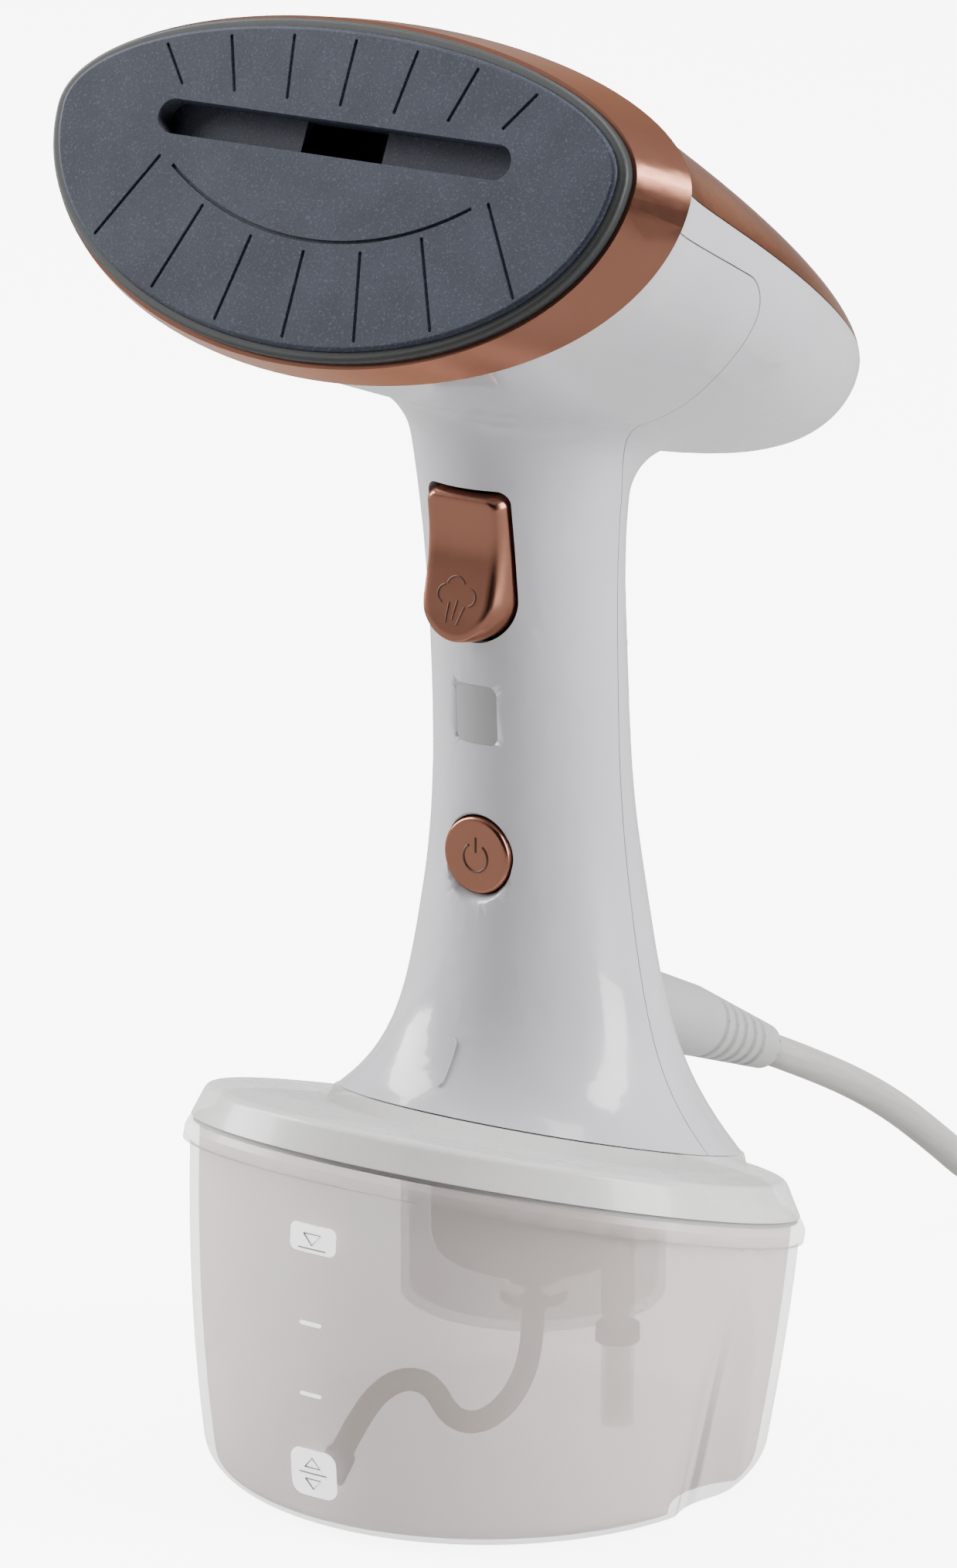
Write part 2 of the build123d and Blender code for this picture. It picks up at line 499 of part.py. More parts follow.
# ---------------------------------------------------------------- trigger, window, set button and circuit board
with BuildPart() as trigger:
    extrude(trigger_outline(0), amount=FAR / 20, taper=TRIGGER_TAPER)
    with BuildSketch(Plane.YZ):  # the sloping face is cut across the blank
        with BuildLine():
            Polyline(
                (TRIGGER_TOP_Y, TRIGGER_HIGH), (TRIGGER_LOW_Y, TRIGGER_LOW), (TRIGGER_LOW_Y, 0), (-FAR, 0),
                (-FAR, FAR), (TRIGGER_TOP_Y, FAR), (TRIGGER_TOP_Y, TRIGGER_HIGH),
            )
        make_face()
    extrude(amount=FAR, both=True, mode=Mode.SUBTRACT)
    for side in (-1, 1):
        with BuildSketch(Plane.YZ.offset(side * LUG_X - LUG_WIDTH / 2)):
            with BuildLine():
                Polyline(
                    (TRIGGER_BACK_Y - 1, HINGE_Z - LUG_RADIUS), (HINGE_Y, HINGE_Z - LUG_RADIUS),
                    (HINGE_Y, HINGE_Z + LUG_RADIUS), (TRIGGER_BACK_Y - 1, HINGE_Z + LUG_RADIUS), close=True,
                )
            make_face()
            with Locations((HINGE_Y, HINGE_Z)):
                Circle(LUG_RADIUS)
                Circle(PIN_RADIUS + PIN_CLEARANCE, mode=Mode.SUBTRACT)
        extrude(amount=LUG_WIDTH)
    with BuildSketch(Plane.YZ.offset(-TRIGGER_WIDTH)):
        with Locations((HINGE_Y, HINGE_Z)):
            Circle(PIN_RADIUS + PIN_CLEARANCE)
    extrude(amount=2 * TRIGGER_WIDTH, mode=Mode.SUBTRACT)
save(trigger.part, "trigger")

with BuildPart() as trigger_pin:
    with BuildSketch(Plane.YZ.offset(-PIN_LENGTH / 2 + PIN_CLEARANCE)):
        with Locations((HINGE_Y, HINGE_Z)):
            Circle(PIN_RADIUS)
    extrude(amount=PIN_LENGTH - 2 * PIN_CLEARANCE)
save(trigger_pin.part, "trigger_pin")


def spring(start, direction, length, radius, wire, turns):
    """A round-wire compression spring."""
    with BuildPart() as piece:
        with BuildLine():
            path = Helix(length / turns, length, radius, center=start, direction=direction)
        with BuildSketch(Plane(origin=path @ 0, z_dir=path % 0)):
            Circle(wire)
        sweep(is_frenet=True)
    return piece.part


spring_room = BOARD_Y - TRIGGER_BACK_Y
save(
    spring((0, BOARD_Y - 2 * SPRING_WIRE, SPRING_Z), (0, -1, 0), spring_room - 4 * SPRING_WIRE, SPRING_RADIUS,
           SPRING_WIRE, SPRING_TURNS),
    "trigger_spring",
)

with BuildPart() as indicator_window:
    extrude(window_outline(0), amount=FAR / 8)
    add(handle_rind.part, mode=Mode.INTERSECT)
save(indicator_window.part, "indicator_window")

with BuildPart() as set_button:
    extrude(on_front(BUTTON_FRONT_Y + BUTTON_LENGTH, BUTTON_Z, BUTTON_RADIUS), amount=BUTTON_LENGTH)
    fillet(set_button.faces().sort_by(Axis.Y)[0].edges(), BUTTON_EDGE)
    extrude(on_front(BUTTON_FRONT_Y + BUTTON_LENGTH, BUTTON_Z, BUTTON_RADIUS + BUTTON_FLANGE_WIDTH), amount=BUTTON_FLANGE)
save(set_button.part, "set_button")

with BuildPart() as circuit_board:
    with BuildSketch(FRONT.offset(-BOARD_Y - BOARD_THICKNESS)):
        with Locations((0, (BOARD_LOW + BOARD_HIGH) / 2)):
            RectangleRounded(BOARD_WIDTH, BOARD_HIGH - BOARD_LOW, SCREW_RADIUS)
    extrude(amount=BOARD_THICKNESS)
save(circuit_board.part, "circuit_board")

with BuildPart() as board_led:
    extrude(on_front(BOARD_Y, WINDOW_Z, LED_RADIUS), amount=LED_LENGTH)
    fillet(board_led.faces().sort_by(Axis.Y)[0].edges(), LED_RADIUS * 0.8)
save(board_led.part, "board_led")


def switch(z, depth, tip_y, travel, name):
    """A square switch on the board and the plunger that its button presses."""
    base_y = BOARD_Y - SWITCH_BASE - travel
    with BuildPart() as housing:
        with BuildSketch(FRONT.offset(-BOARD_Y)):
            with Locations((0, z)):
                RectangleRounded(SWITCH_SIZE, SWITCH_SIZE, SWITCH_BASE)
        extrude(amount=depth)
        extrude(on_front(BOARD_Y - SWITCH_BASE / 2, z, PLUNGER_RADIUS + PIN_CLEARANCE), amount=depth, mode=Mode.SUBTRACT)
    with BuildPart() as plunger:
        extrude(on_front(base_y, z, PLUNGER_RADIUS), amount=base_y - tip_y)
    save(housing.part, name)
    save(plunger.part, name + "_plunger")


switch(TRIGGER_SWITCH_Z, TRIGGER_SWITCH_DEPTH, TRIGGER_BACK_Y + PLUNGER_GAP, TRIGGER_TRAVEL, "trigger_switch")
switch(BUTTON_Z, SET_SWITCH_DEPTH, BUTTON_FRONT_Y + BUTTON_LENGTH + PLUNGER_GAP, BUTTON_TRAVEL, "set_switch")


# ---------------------------------------------------------------- pump and water tubes in the handle
def upright(z, radius, x=0.0, y=CUP_Y):
    """A round outline in the horizontal plane at height z."""
    with BuildSketch(Plane.XY.offset(z)) as outline:
        with Locations((x, y)):
            Circle(radius)
    return outline.sketch


with BuildPart() as pump_body:
    extrude(upright(PUMP_LOW, PUMP_RADIUS), amount=PUMP_HIGH - PUMP_LOW)
    for z in (PUMP_LOW - BARB_HEIGHT, PUMP_HIGH):
        extrude(upright(z, TUBE_INNER), amount=BARB_HEIGHT)
    bore_height = PUMP_HIGH - PUMP_LOW - 2 * PUMP_CAP
    extrude(upright(PUMP_LOW + PUMP_CAP, PUMP_BORE + PIN_CLEARANCE), amount=bore_height, mode=Mode.SUBTRACT)
save(pump_body.part, "pump_body")

with BuildPart() as pump_winding:
    with BuildSketch(Plane.XY.offset(WINDING_LOW)):
        with Locations((0, CUP_Y)):
            RectangleRounded(WINDING_WIDTH, WINDING_DEPTH, BOSS_RADIUS)
            Circle(PUMP_RADIUS + PIN_CLEARANCE, mode=Mode.SUBTRACT)
    extrude(amount=WINDING_HIGH - WINDING_LOW)
save(pump_winding.part, "pump_winding")

with BuildPart() as pump_plunger:
    extrude(upright(PISTON_LOW, PUMP_BORE), amount=PISTON_LENGTH)
    extrude(upright(PISTON_LOW, TUBE_INNER), amount=PISTON_LENGTH, mode=Mode.SUBTRACT)
save(pump_plunger.part, "pump_plunger")

spring_low = PISTON_LOW + PISTON_LENGTH + 2 * SPRING_WIRE
spring_high = PUMP_HIGH - PUMP_CAP - 2 * SPRING_WIRE
save(
    spring((0, CUP_Y, spring_low), (0, 0, 1), spring_high - spring_low, PUMP_BORE - 3 * SPRING_WIRE, SPRING_WIRE,
           SPRING_TURNS + 1),
    "pump_spring",
)

nozzle_point = FACE.from_local_coords((0, CHAMBER_INLET, -CHAMBER_FRONT - CHAMBER_DEPTH))
feed_route = (
    (0, CUP_Y, PUMP_HIGH), (0, CUP_Y, 172.0), (0, 11.0, 192.0), (0, 5.0, 210.0), (0, -8.0, 225.0),
    tuple(nozzle_point - FACE.z_dir * 2 * BARB_HEIGHT), tuple(nozzle_point),
)
save(tube(feed_route, TUBE_OUTER, TUBE_INNER), "feed_hose")

# ---------------------------------------------------------------- steam chamber in the head
CHAMBER = (CHAMBER_HALF_WIDTH, CHAMBER_RISE, CHAMBER_DROP)
chamber_back = CHAMBER_FRONT + CHAMBER_DEPTH
heater_plane = FACE.offset(-chamber_back)
heater_route = [
    tuple(heater_plane.from_local_coords(point))
    for point in (
        (HEATER_HALF_SPAN, HEATER_TOP, 0), (-HEATER_HALF_SPAN, HEATER_TOP, 0),
        (-HEATER_HALF_SPAN, HEATER_TOP - HEATER_LEG, 0), (HEATER_HALF_SPAN, HEATER_TOP - HEATER_LEG, 0),
    )
]
with BuildPart() as heating_element:
    with BuildLine():
        heater_path = FilletPolyline(*heater_route, radius=HEATER_LEG * ROUND_SHARE)
    with BuildSketch(Plane(origin=heater_route[0], z_dir=heater_path % 0)):
        Circle(HEATER_RADIUS)
    sweep()
    for end in (heater_route[0], heater_route[-1]):
        with BuildSketch(Plane(origin=end, z_dir=(1, 0, 0))):
            Circle(SCREW_RADIUS)
        extrude(amount=BARB_HEIGHT)

with BuildPart() as steam_chamber:
    extrude(oval(FACE.offset(-CHAMBER_FRONT), *CHAMBER), amount=-CHAMBER_DEPTH)
    extrude(
        oval(FACE.offset(-CHAMBER_FRONT), *grown(CHAMBER, -CHAMBER_WALL)), amount=CHAMBER_FLOOR - CHAMBER_DEPTH,
        mode=Mode.SUBTRACT,
    )
    add(heating_element.part, mode=Mode.SUBTRACT)
    with BuildSketch(FACE.offset(-CHAMBER_FRONT)):
        with Locations((0, CHAMBER_INLET)):
            Circle(TUBE_INNER)
    extrude(amount=-CHAMBER_DEPTH, mode=Mode.SUBTRACT)
save(heating_element.part, "heating_element")
save(steam_chamber.part, "steam_chamber")

with BuildPart() as chamber_gasket:
    extrude(oval(FACE.offset(-PLATE_THICKNESS), *CHAMBER), amount=PLATE_THICKNESS - CHAMBER_FRONT)
    extrude(
        oval(FACE.offset(-PLATE_THICKNESS), *grown(CHAMBER, -SEAL_WIDTH)), amount=PLATE_THICKNESS - CHAMBER_FRONT,
        mode=Mode.SUBTRACT,
    )
save(chamber_gasket.part, "chamber_gasket")

with BuildPart() as thermostat:
    with BuildSketch(heater_plane):
        with Locations((0, HEATER_TOP - HEATER_LEG / 2)):
            Circle(HEATER_LEG / 2 - HEATER_RADIUS - FIT)
    extrude(amount=-BARB_HEIGHT)
save(thermostat.part, "thermostat")

with BuildPart() as thermal_fuse:
    with BuildSketch(heater_plane):
        with Locations((HEATER_LEG, HEATER_TOP - HEATER_LEG / 2)):
            SlotOverall(HEATER_LEG - BARB_HEIGHT, HEATER_RADIUS)
    extrude(amount=-HEATER_RADIUS)
save(thermal_fuse.part, "thermal_fuse")

with BuildPart() as chamber_screws:
    for x in (-1, 1):
        with BuildSketch(FACE.offset(-chamber_back - SCREW_HEAD)):
            with Locations((x * (CHAMBER_HALF_WIDTH - CHAMBER_WALL - SCREW_HEAD_RADIUS), -HEAD_SAG)):
                Circle(SCREW_HEAD_RADIUS)
        extrude(amount=SCREW_HEAD)
save(chamber_screws.part, "chamber_screws")

# ---------------------------------------------------------------- foot of the handle
with BuildPart() as dock_spigot:
    extrude(upright(SPIGOT_LOW, SPIGOT_RADIUS), amount=DOCK_Z - SPIGOT_LOW + SPIGOT_EDGE)
    split(bisect_by=FOOT.offset(2 * FIT), keep=Keep.BOTTOM)
    fillet(dock_spigot.faces().sort_by(Axis.Z)[0].edges(), SPIGOT_EDGE)
    extrude(disc(FOOT.offset(FIT), FOOT_RADIUS - 3 * WALL), amount=WALL)
    extrude(upright(DOCK_Z, TUBE_INNER + TANK_WALL), amount=BARB_HEIGHT + WALL)
    extrude(upright(NOZZLE_LOW, NOZZLE_RADIUS), amount=SPIGOT_LOW - NOZZLE_LOW + SPIGOT_EDGE)
    with BuildSketch(Plane.XZ.offset(-CUP_Y)):
        with Locations((NOZZLE_RADIUS, RING_Z)):
            Circle(RING_WIRE)
    revolve(axis=Axis((0, CUP_Y, 0), (0, 0, 1)), mode=Mode.SUBTRACT)
    extrude(upright(0, TUBE_INNER), amount=FAR / 4, mode=Mode.SUBTRACT)
save(dock_spigot.part, "dock_spigot")

with BuildPart() as spigot_o_ring:
    with BuildSketch(Plane.XZ.offset(-CUP_Y)):
        with Locations((NOZZLE_RADIUS, RING_Z)):
            Circle(RING_WIRE)
    revolve(axis=Axis((0, CUP_Y, 0), (0, 0, 1)))
save(spigot_o_ring.part, "spigot_o_ring")

riser_low = DOCK_Z + BARB_HEIGHT + WALL
with BuildPart() as riser_tube:
    extrude(upright(riser_low, TUBE_OUTER), amount=PUMP_LOW - riser_low)
    extrude(upright(riser_low, TUBE_INNER), amount=PUMP_LOW - riser_low, mode=Mode.SUBTRACT)
save(riser_tube.part, "riser_tube")

# ---------------------------------------------------------------- water tank
with BuildPart() as tank_blank:
    loft(tank_sections(0))
    fillet(tank_blank.faces().sort_by(Axis.Z)[0].edges(), TANK_EDGE)
    extrude(disc(RIM.offset(-BEAD_HEIGHT), RIM_RADIUS), amount=BEAD_HEIGHT)
    loft([rim_section(0), rim_section(SEAL_LOW)])


def grip(radius, side):
    """Leaning cylinder that presses a finger recess into the tank's side."""
    low_x = TANK_SECTIONS[0][2] - GRIP_DEPTH + GRIP_RADIUS
    lean = GRIP_DEPTH + RIM_RADIUS - 1.7 - TANK_SECTIONS[0][2]
    plane = Plane(origin=(side * low_x, GRIP_Y, 0), x_dir=(0, 1, 0), z_dir=(side * lean, 0, GRIP_HEIGHT))
    with BuildSketch(plane.offset(-GRIP_HEIGHT)) as outline:
        Circle(radius)
    return outline.sketch


with BuildPart() as tank_space:  # the room for water
    loft(tank_sections(TANK_WALL))
    extrude(disc(RIM, TANK_SECTIONS[-1][2] - TANK_WALL), amount=SEAL_LOW)
    for side in (-1, 1):
        extrude(grip(GRIP_RADIUS + TANK_WALL, side), amount=3 * GRIP_HEIGHT, mode=Mode.SUBTRACT)
    with BuildSketch(Plane.XY):
        Rectangle(FAR, FAR)
    extrude(amount=TANK_FLOOR, mode=Mode.SUBTRACT)

with BuildPart() as tank_bowl:
    add(tank_blank.part)
    for side in (-1, 1):
        extrude(grip(GRIP_RADIUS, side), amount=3 * GRIP_HEIGHT, mode=Mode.SUBTRACT)
    add(tank_space.part, mode=Mode.SUBTRACT)
save(tank_bowl.part, "tank_bowl")

with BuildPart() as tank_seal:
    loft([rim_section(SEAL_LOW, SEAL_INSET), rim_section(SEAL_LOW + SEAL_HEIGHT, SEAL_INSET)])
    extrude(disc(RIM, TANK_SECTIONS[-1][2] - TANK_WALL), amount=CORNER_HEIGHT, mode=Mode.SUBTRACT)
save(tank_seal.part, "tank_seal")

cover_low = SEAL_LOW + SEAL_HEIGHT
with BuildPart() as tank_cover:
    loft([rim_section(cover_low), rim_section(CORNER_HEIGHT)])
    fillet(tank_cover.faces().sort_by(Axis(RIM.origin, RIM.z_dir))[-1].edges(), TANK_WALL)
    loft([rim_section(cover_low, 2 * TANK_WALL), rim_section(CORNER_HEIGHT - TANK_WALL, 2 * TANK_WALL)], mode=Mode.SUBTRACT)
    loft([
        disc(RIM.offset(CORNER_HEIGHT - TANK_WALL), COLLAR_RADIUS, FOOT_SHIFT),
        disc(RIM.offset(FOOT_HEIGHT - SEAT_GAP), COLLAR_TOP_RADIUS, FOOT_SHIFT),
    ])
    extrude(upright(0, CUP_RADIUS), amount=FAR / 4, mode=Mode.SUBTRACT)
    extrude(upright(0, VENT_RADIUS - TANK_WALL, VENT_X, VENT_Y), amount=FAR / 4, mode=Mode.SUBTRACT)
save(tank_cover.part, "tank_cover")

with BuildPart() as dock_cup:
    extrude(upright(CUP_LOW, CUP_RADIUS), amount=DOCK_Z)
    split(bisect_by=RIM.offset(FOOT_HEIGHT - SEAT_GAP), keep=Keep.BOTTOM)
    extrude(upright(CUP_LOW + CUP_WALL, CUP_RADIUS - CUP_WALL), amount=DOCK_Z, mode=Mode.SUBTRACT)
    socket_bore = NOZZLE_RADIUS + RING_WIRE + PLUNGER_GAP
    extrude(upright(SOCKET_LOW, socket_bore + SOCKET_WALL), amount=SOCKET_HIGH - SOCKET_LOW)
    extrude(upright(CUP_LOW + CUP_WALL, socket_bore), amount=DOCK_Z, mode=Mode.SUBTRACT)
    extrude(upright(0, TUBE_INNER), amount=DOCK_Z, mode=Mode.SUBTRACT)
save(dock_cup.part, "dock_cup")

hose_start = HOSE_ROUTE[0][2]
with BuildPart() as hose_connector:
    extrude(upright(hose_start, CONNECTOR_RADIUS), amount=SOCKET_LOW - hose_start)
    extrude(upright(hose_start, TUBE_INNER), amount=SOCKET_LOW - hose_start, mode=Mode.SUBTRACT)
save(hose_connector.part, "hose_connector")
save(tube(HOSE_ROUTE, HOSE_RADIUS), "suction_hose")

hose_run = (Vector(*HOSE_ROUTE[-1]) - Vector(*HOSE_ROUTE[-2])).normalized()
with BuildPart() as intake_filter:
    with BuildSketch(Plane(origin=HOSE_ROUTE[-1], z_dir=hose_run)):
        Circle(FILTER_RADIUS)
    extrude(amount=FILTER_LENGTH)
    fillet(intake_filter.edges(), RING_WIRE)
save(intake_filter.part, "intake_filter")

with BuildPart() as vent_tube:
    extrude(upright(VENT_LOW, VENT_RADIUS, VENT_X, VENT_Y), amount=DOCK_Z)
    split(bisect_by=RIM.offset(CORNER_HEIGHT - TANK_WALL), keep=Keep.BOTTOM)
    extrude(upright(VENT_LOW, VENT_RADIUS - TANK_WALL / 2, VENT_X, VENT_Y), amount=DOCK_Z, mode=Mode.SUBTRACT)
save(vent_tube.part, "vent_tube")

with BuildPart() as vent_cap:
    extrude(upright(VENT_CAP_Z, VENT_CAP_RADIUS, VENT_X, VENT_Y), amount=CUP_WALL * 2)
    extrude(upright(VENT_CAP_Z, VENT_RADIUS, VENT_X, VENT_Y), amount=CUP_WALL * 2, mode=Mode.SUBTRACT)
save(vent_cap.part, "vent_cap")

with BuildPart() as level_marks:
    for z, width, height in LEVEL_MARKS:
        with BuildSketch(FRONT):
            with Locations((0, z)):
                SlotOverall(width, height) if width > 2 * height else RectangleRounded(width, height, height / 4)
        extrude(amount=FAR / 4)
    loft(tank_sections(-MARK_INK), mode=Mode.INTERSECT)
    loft(tank_sections(0), mode=Mode.SUBTRACT)
save(level_marks.part, "level_marks")

# ---------------------------------------------------------------- mains lead
with BuildPart() as strain_relief:
    with BuildSketch(RELIEF_TIP_PLANE):
        Circle(RELIEF_TIP)
    with BuildSketch(RELIEF_TIP_PLANE.offset(RELIEF_LENGTH / 2)):
        Circle(RELIEF_BASE)
    loft()
    with BuildSketch(RELIEF_TIP_PLANE.offset(RELIEF_LENGTH / 2)):
        Circle(RELIEF_BASE)
    extrude(amount=RELIEF_LENGTH / 2)
    with BuildSketch(RELIEF_TIP_PLANE.offset(RELIEF_LENGTH)):
        Circle(RELIEF_BASE + RELIEF_FLANGE_WIDTH)
    extrude(amount=RELIEF_FLANGE)
    for k in range(RELIEF_RIBS):
        at = RIB_START + k * RIB_PITCH
        neck_radius = RELIEF_TIP + (RELIEF_BASE - RELIEF_TIP) * at / (RELIEF_LENGTH / 2) - RIB_DEPTH
        with BuildSketch(RELIEF_TIP_PLANE.offset(at)):
            Circle(2 * RELIEF_BASE)
            Circle(neck_radius, mode=Mode.SUBTRACT)
        extrude(amount=RIB_GAP, mode=Mode.SUBTRACT)
save(strain_relief.part, "strain_relief")
save(tube(CORD_ROUTE, CORD_RADIUS), "power_cord")

coil_middle = (COIL_OUTER + COIL_INNER) / 2
coil_height = COIL_ROWS * (2 * CORD_RADIUS + COIL_GAP)
lead_out_z = coil_height - FLOOR_LEAD_Z
with BuildPart() as cord_coil:
    with BuildSketch(Plane.XY):
        with Locations((COIL_X, COIL_Y)):
            Circle(COIL_OUTER + CORD_RADIUS + COIL_GAP)
            Circle(COIL_INNER - CORD_RADIUS - COIL_GAP, mode=Mode.SUBTRACT)
    extrude(amount=coil_height)
    fillet(cord_coil.edges(), CORD_RADIUS - COIL_GAP)
    with BuildSketch(Plane.XZ.offset(-COIL_Y + LEAD_IN)):
        with Locations((FLOOR_LEAD_X, FLOOR_LEAD_Z)):
            Circle(CORD_RADIUS)
    extrude(amount=-LEAD_IN)
    with BuildSketch(Plane.XZ.offset(-COIL_Y + LEAD_OUT)):
        with Locations((COIL_X + COIL_OUTER, lead_out_z)):
            Circle(CORD_RADIUS)
    extrude(amount=-LEAD_OUT)
save(cord_coil.part, "cord_coil")

with BuildPart() as cord_tie:  # strap round the bundle, on the coil's far side
    with BuildSketch(Plane.YZ.offset(COIL_X - TIE_WIDTH / 2)):
        with Locations((COIL_Y + coil_middle, coil_height / 2)):
            span = COIL_OUTER - COIL_INNER + 2 * CORD_RADIUS
            Rectangle(span + 2 * TIE_THICKNESS, coil_height + 2 * TIE_THICKNESS)
            Rectangle(span, coil_height, mode=Mode.SUBTRACT)
    extrude(amount=TIE_WIDTH)
    split(bisect_by=Plane.XY, keep=Keep.TOP)
    add(cord_coil.part, mode=Mode.SUBTRACT)
save(cord_tie.part, "cord_tie")

plug_x, plug_y = COIL_X + COIL_OUTER, COIL_Y - LEAD_OUT
plug_plane = Plane(origin=(plug_x, plug_y, PLUG_THICKNESS / 2), x_dir=(1, 0, 0), z_dir=(0, -1, 0))
with BuildPart() as mains_plug:
    with BuildSketch(plug_plane.offset(PLUG_TAIL)):
        RectangleRounded(2 * PLUG_RADIUS, PLUG_THICKNESS, PLUG_THICKNESS / 2 - 1)
    extrude(amount=PLUG_LENGTH)
    with BuildSketch(Plane(origin=(plug_x, plug_y, lead_out_z), x_dir=(1, 0, 0), z_dir=(0, -1, 0))):
        Circle(RELIEF_TIP)
    with BuildSketch(plug_plane.offset(PLUG_TAIL)):
        Circle(0.4 * PLUG_THICKNESS)
    loft()
save(mains_plug.part, "mains_plug")

with BuildPart() as plug_pins:
    for side in (-1, 1):
        with BuildSketch(plug_plane.offset(PLUG_TAIL + PLUG_LENGTH)):
            with Locations((side * PLUG_PIN_PITCH / 2, 0)):
                Circle(PLUG_PIN_RADIUS)
        extrude(amount=PLUG_PIN_LENGTH)
    fillet(plug_pins.faces().sort_by(Axis.Y)[:2].edges(), PLUG_PIN_RADIUS / 2)
save(plug_pins.part, "plug_pins")
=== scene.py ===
import json
import math

import bmesh
import bpy
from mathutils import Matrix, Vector


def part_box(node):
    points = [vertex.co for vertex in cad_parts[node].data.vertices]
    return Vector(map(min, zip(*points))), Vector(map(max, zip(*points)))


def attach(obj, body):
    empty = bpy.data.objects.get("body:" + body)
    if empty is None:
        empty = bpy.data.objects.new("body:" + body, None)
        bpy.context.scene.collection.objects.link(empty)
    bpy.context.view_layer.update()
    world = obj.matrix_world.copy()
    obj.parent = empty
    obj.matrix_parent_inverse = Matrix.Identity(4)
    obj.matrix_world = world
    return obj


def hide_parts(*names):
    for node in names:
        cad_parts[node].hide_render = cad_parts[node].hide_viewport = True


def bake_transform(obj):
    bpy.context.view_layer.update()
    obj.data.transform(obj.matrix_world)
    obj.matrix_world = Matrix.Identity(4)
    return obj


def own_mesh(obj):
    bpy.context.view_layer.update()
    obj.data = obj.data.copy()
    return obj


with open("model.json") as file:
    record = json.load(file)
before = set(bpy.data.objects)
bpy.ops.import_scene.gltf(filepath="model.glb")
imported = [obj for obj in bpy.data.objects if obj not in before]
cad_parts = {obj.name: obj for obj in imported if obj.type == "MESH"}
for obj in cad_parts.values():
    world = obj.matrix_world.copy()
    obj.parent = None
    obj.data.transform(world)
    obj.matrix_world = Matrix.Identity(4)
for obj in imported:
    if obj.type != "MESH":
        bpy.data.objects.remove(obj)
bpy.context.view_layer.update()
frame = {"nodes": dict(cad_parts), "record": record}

mm = 0.001

# ---------------------------------------------------------------- camera
VIEW_CENTRE = Vector((-4.6, 0.0, 134.1)) * mm
VIEW_TURN, VIEW_LIFT, VIEW_DISTANCE = math.radians(36), math.radians(16), 1.5
LENS = 179.5
VIEW_DEPTH = 100

towards_camera = Vector((
    math.sin(VIEW_TURN) * math.cos(VIEW_LIFT),
    -math.cos(VIEW_TURN) * math.cos(VIEW_LIFT),
    math.sin(VIEW_LIFT),
))
camera_data = bpy.data.cameras.new("camera")
camera_data.lens = LENS
camera_data.clip_end = VIEW_DEPTH
camera = bpy.data.objects.new("camera", camera_data)
camera.location = VIEW_CENTRE + towards_camera * VIEW_DISTANCE
camera.rotation_euler = (-towards_camera).to_track_quat("-Z", "Y").to_euler()
bpy.context.collection.objects.link(camera)
bpy.context.scene.camera = camera

# ---------------------------------------------------------------- routes of the lead and the suction hose
# the routes' points and the coil's sizes are in mm
CORD_RADIUS, HOSE_RADIUS = 3.4 * mm, 2.25 * mm
RELIEF_ANGLE, RELIEF_END, FIRST_RUN = math.radians(25.1), (91.3, 58.4), 25.1
FLOOR_Z = 3.5
COIL_CENTRE, COIL_OUTER, COIL_INNER = (50.0, 232.0), 48.5, 25.5
COIL_TURNS, POINTS_PER_TURN = 6.5, 16
COIL_LOW, COIL_HIGH = 3.5, 10.5  # heights of the two layers
CLIMB_TURNS = 0.5  # how much of a turn it takes to pass from one to the other
LEAVE_COIL, BEND_TO_PLUG, PLUG_ENTRY_Y = 218.0, 206.0, 198.0
RELIEF_Y, RELIEF_Z = RELIEF_END
LEAD_ROUTE = [
    (0, RELIEF_Y, RELIEF_Z),
    (0, RELIEF_Y + FIRST_RUN * math.cos(RELIEF_ANGLE), RELIEF_Z - FIRST_RUN * math.sin(RELIEF_ANGLE)),
    (0.3, 137.0, 35.0), (0.8, 155.0, 22.2), (1.1, 173.0, 8.3),
    (1.5, 188.5, FLOOR_Z), (1.5, 204.0, FLOOR_Z), (1.5, 219.0, FLOOR_Z),
]
HOSE_ROUTE = [
    (0, 12.0, 26.2), (0, 12.0, 16.0), (-0.3, 5.8, 7.9), (-0.9, -4.1, 5.3), (-1.6, -13.5, 9.2),
    (-2.2, -18.6, 18.0), (-3.0, -28.0, 21.9), (-3.9, -37.9, 19.3), (-4.9, -44.0, 11.2),
]


def coil_points():
    """The bundle's turns: inward on the floor, then outward on top, clockwise seen from above."""
    reach = 1 / math.cos(math.pi / POINTS_PER_TURN)  # a spline runs inside its control points
    points = []
    for k in range(int(COIL_TURNS * POINTS_PER_TURN) + 1):
        turn = k / POINTS_PER_TURN
        fold = abs(turn - COIL_TURNS / 2) / (COIL_TURNS / 2)  # 1 at the outside, 0 at the inner turn
        radius = (COIL_INNER + (COIL_OUTER - COIL_INNER) * fold) * reach
        climb = min(1, max(0, (turn - COIL_TURNS / 2) / CLIMB_TURNS + 1 / 2))
        climb = climb * climb * (3 - 2 * climb)  # eased at both ends
        angle = math.pi - 2 * math.pi * turn
        points.append((
            COIL_CENTRE[0] + radius * math.cos(angle),
            COIL_CENTRE[1] + radius * math.sin(angle),
            COIL_LOW + (COIL_HIGH - COIL_LOW) * climb,
        ))
    return points


CURVE_STEPS, TUBE_SIDES, SIGN_SIDES = 6, 20, 8
STEEP = 0.9  # the rise, per unit of length, past which a tube takes its first side from X


def spline_curve(name, route):
    """A curve object with one smooth open spline; the route's points, in mm, are its control points."""
    data = bpy.data.curves.new(name, "CURVE")
    data.dimensions = "3D"
    data.resolution_u = CURVE_STEPS
    spline = data.splines.new("NURBS")
    spline.points.add(len(route) - 1)
    for point, place in zip(spline.points, route):
        point.co = (*(v * mm for v in place), 1)
    spline.order_u = 3
    spline.use_endpoint_u = True
    curve = bpy.data.objects.new(name, data)
    bpy.context.collection.objects.link(curve)
    return curve


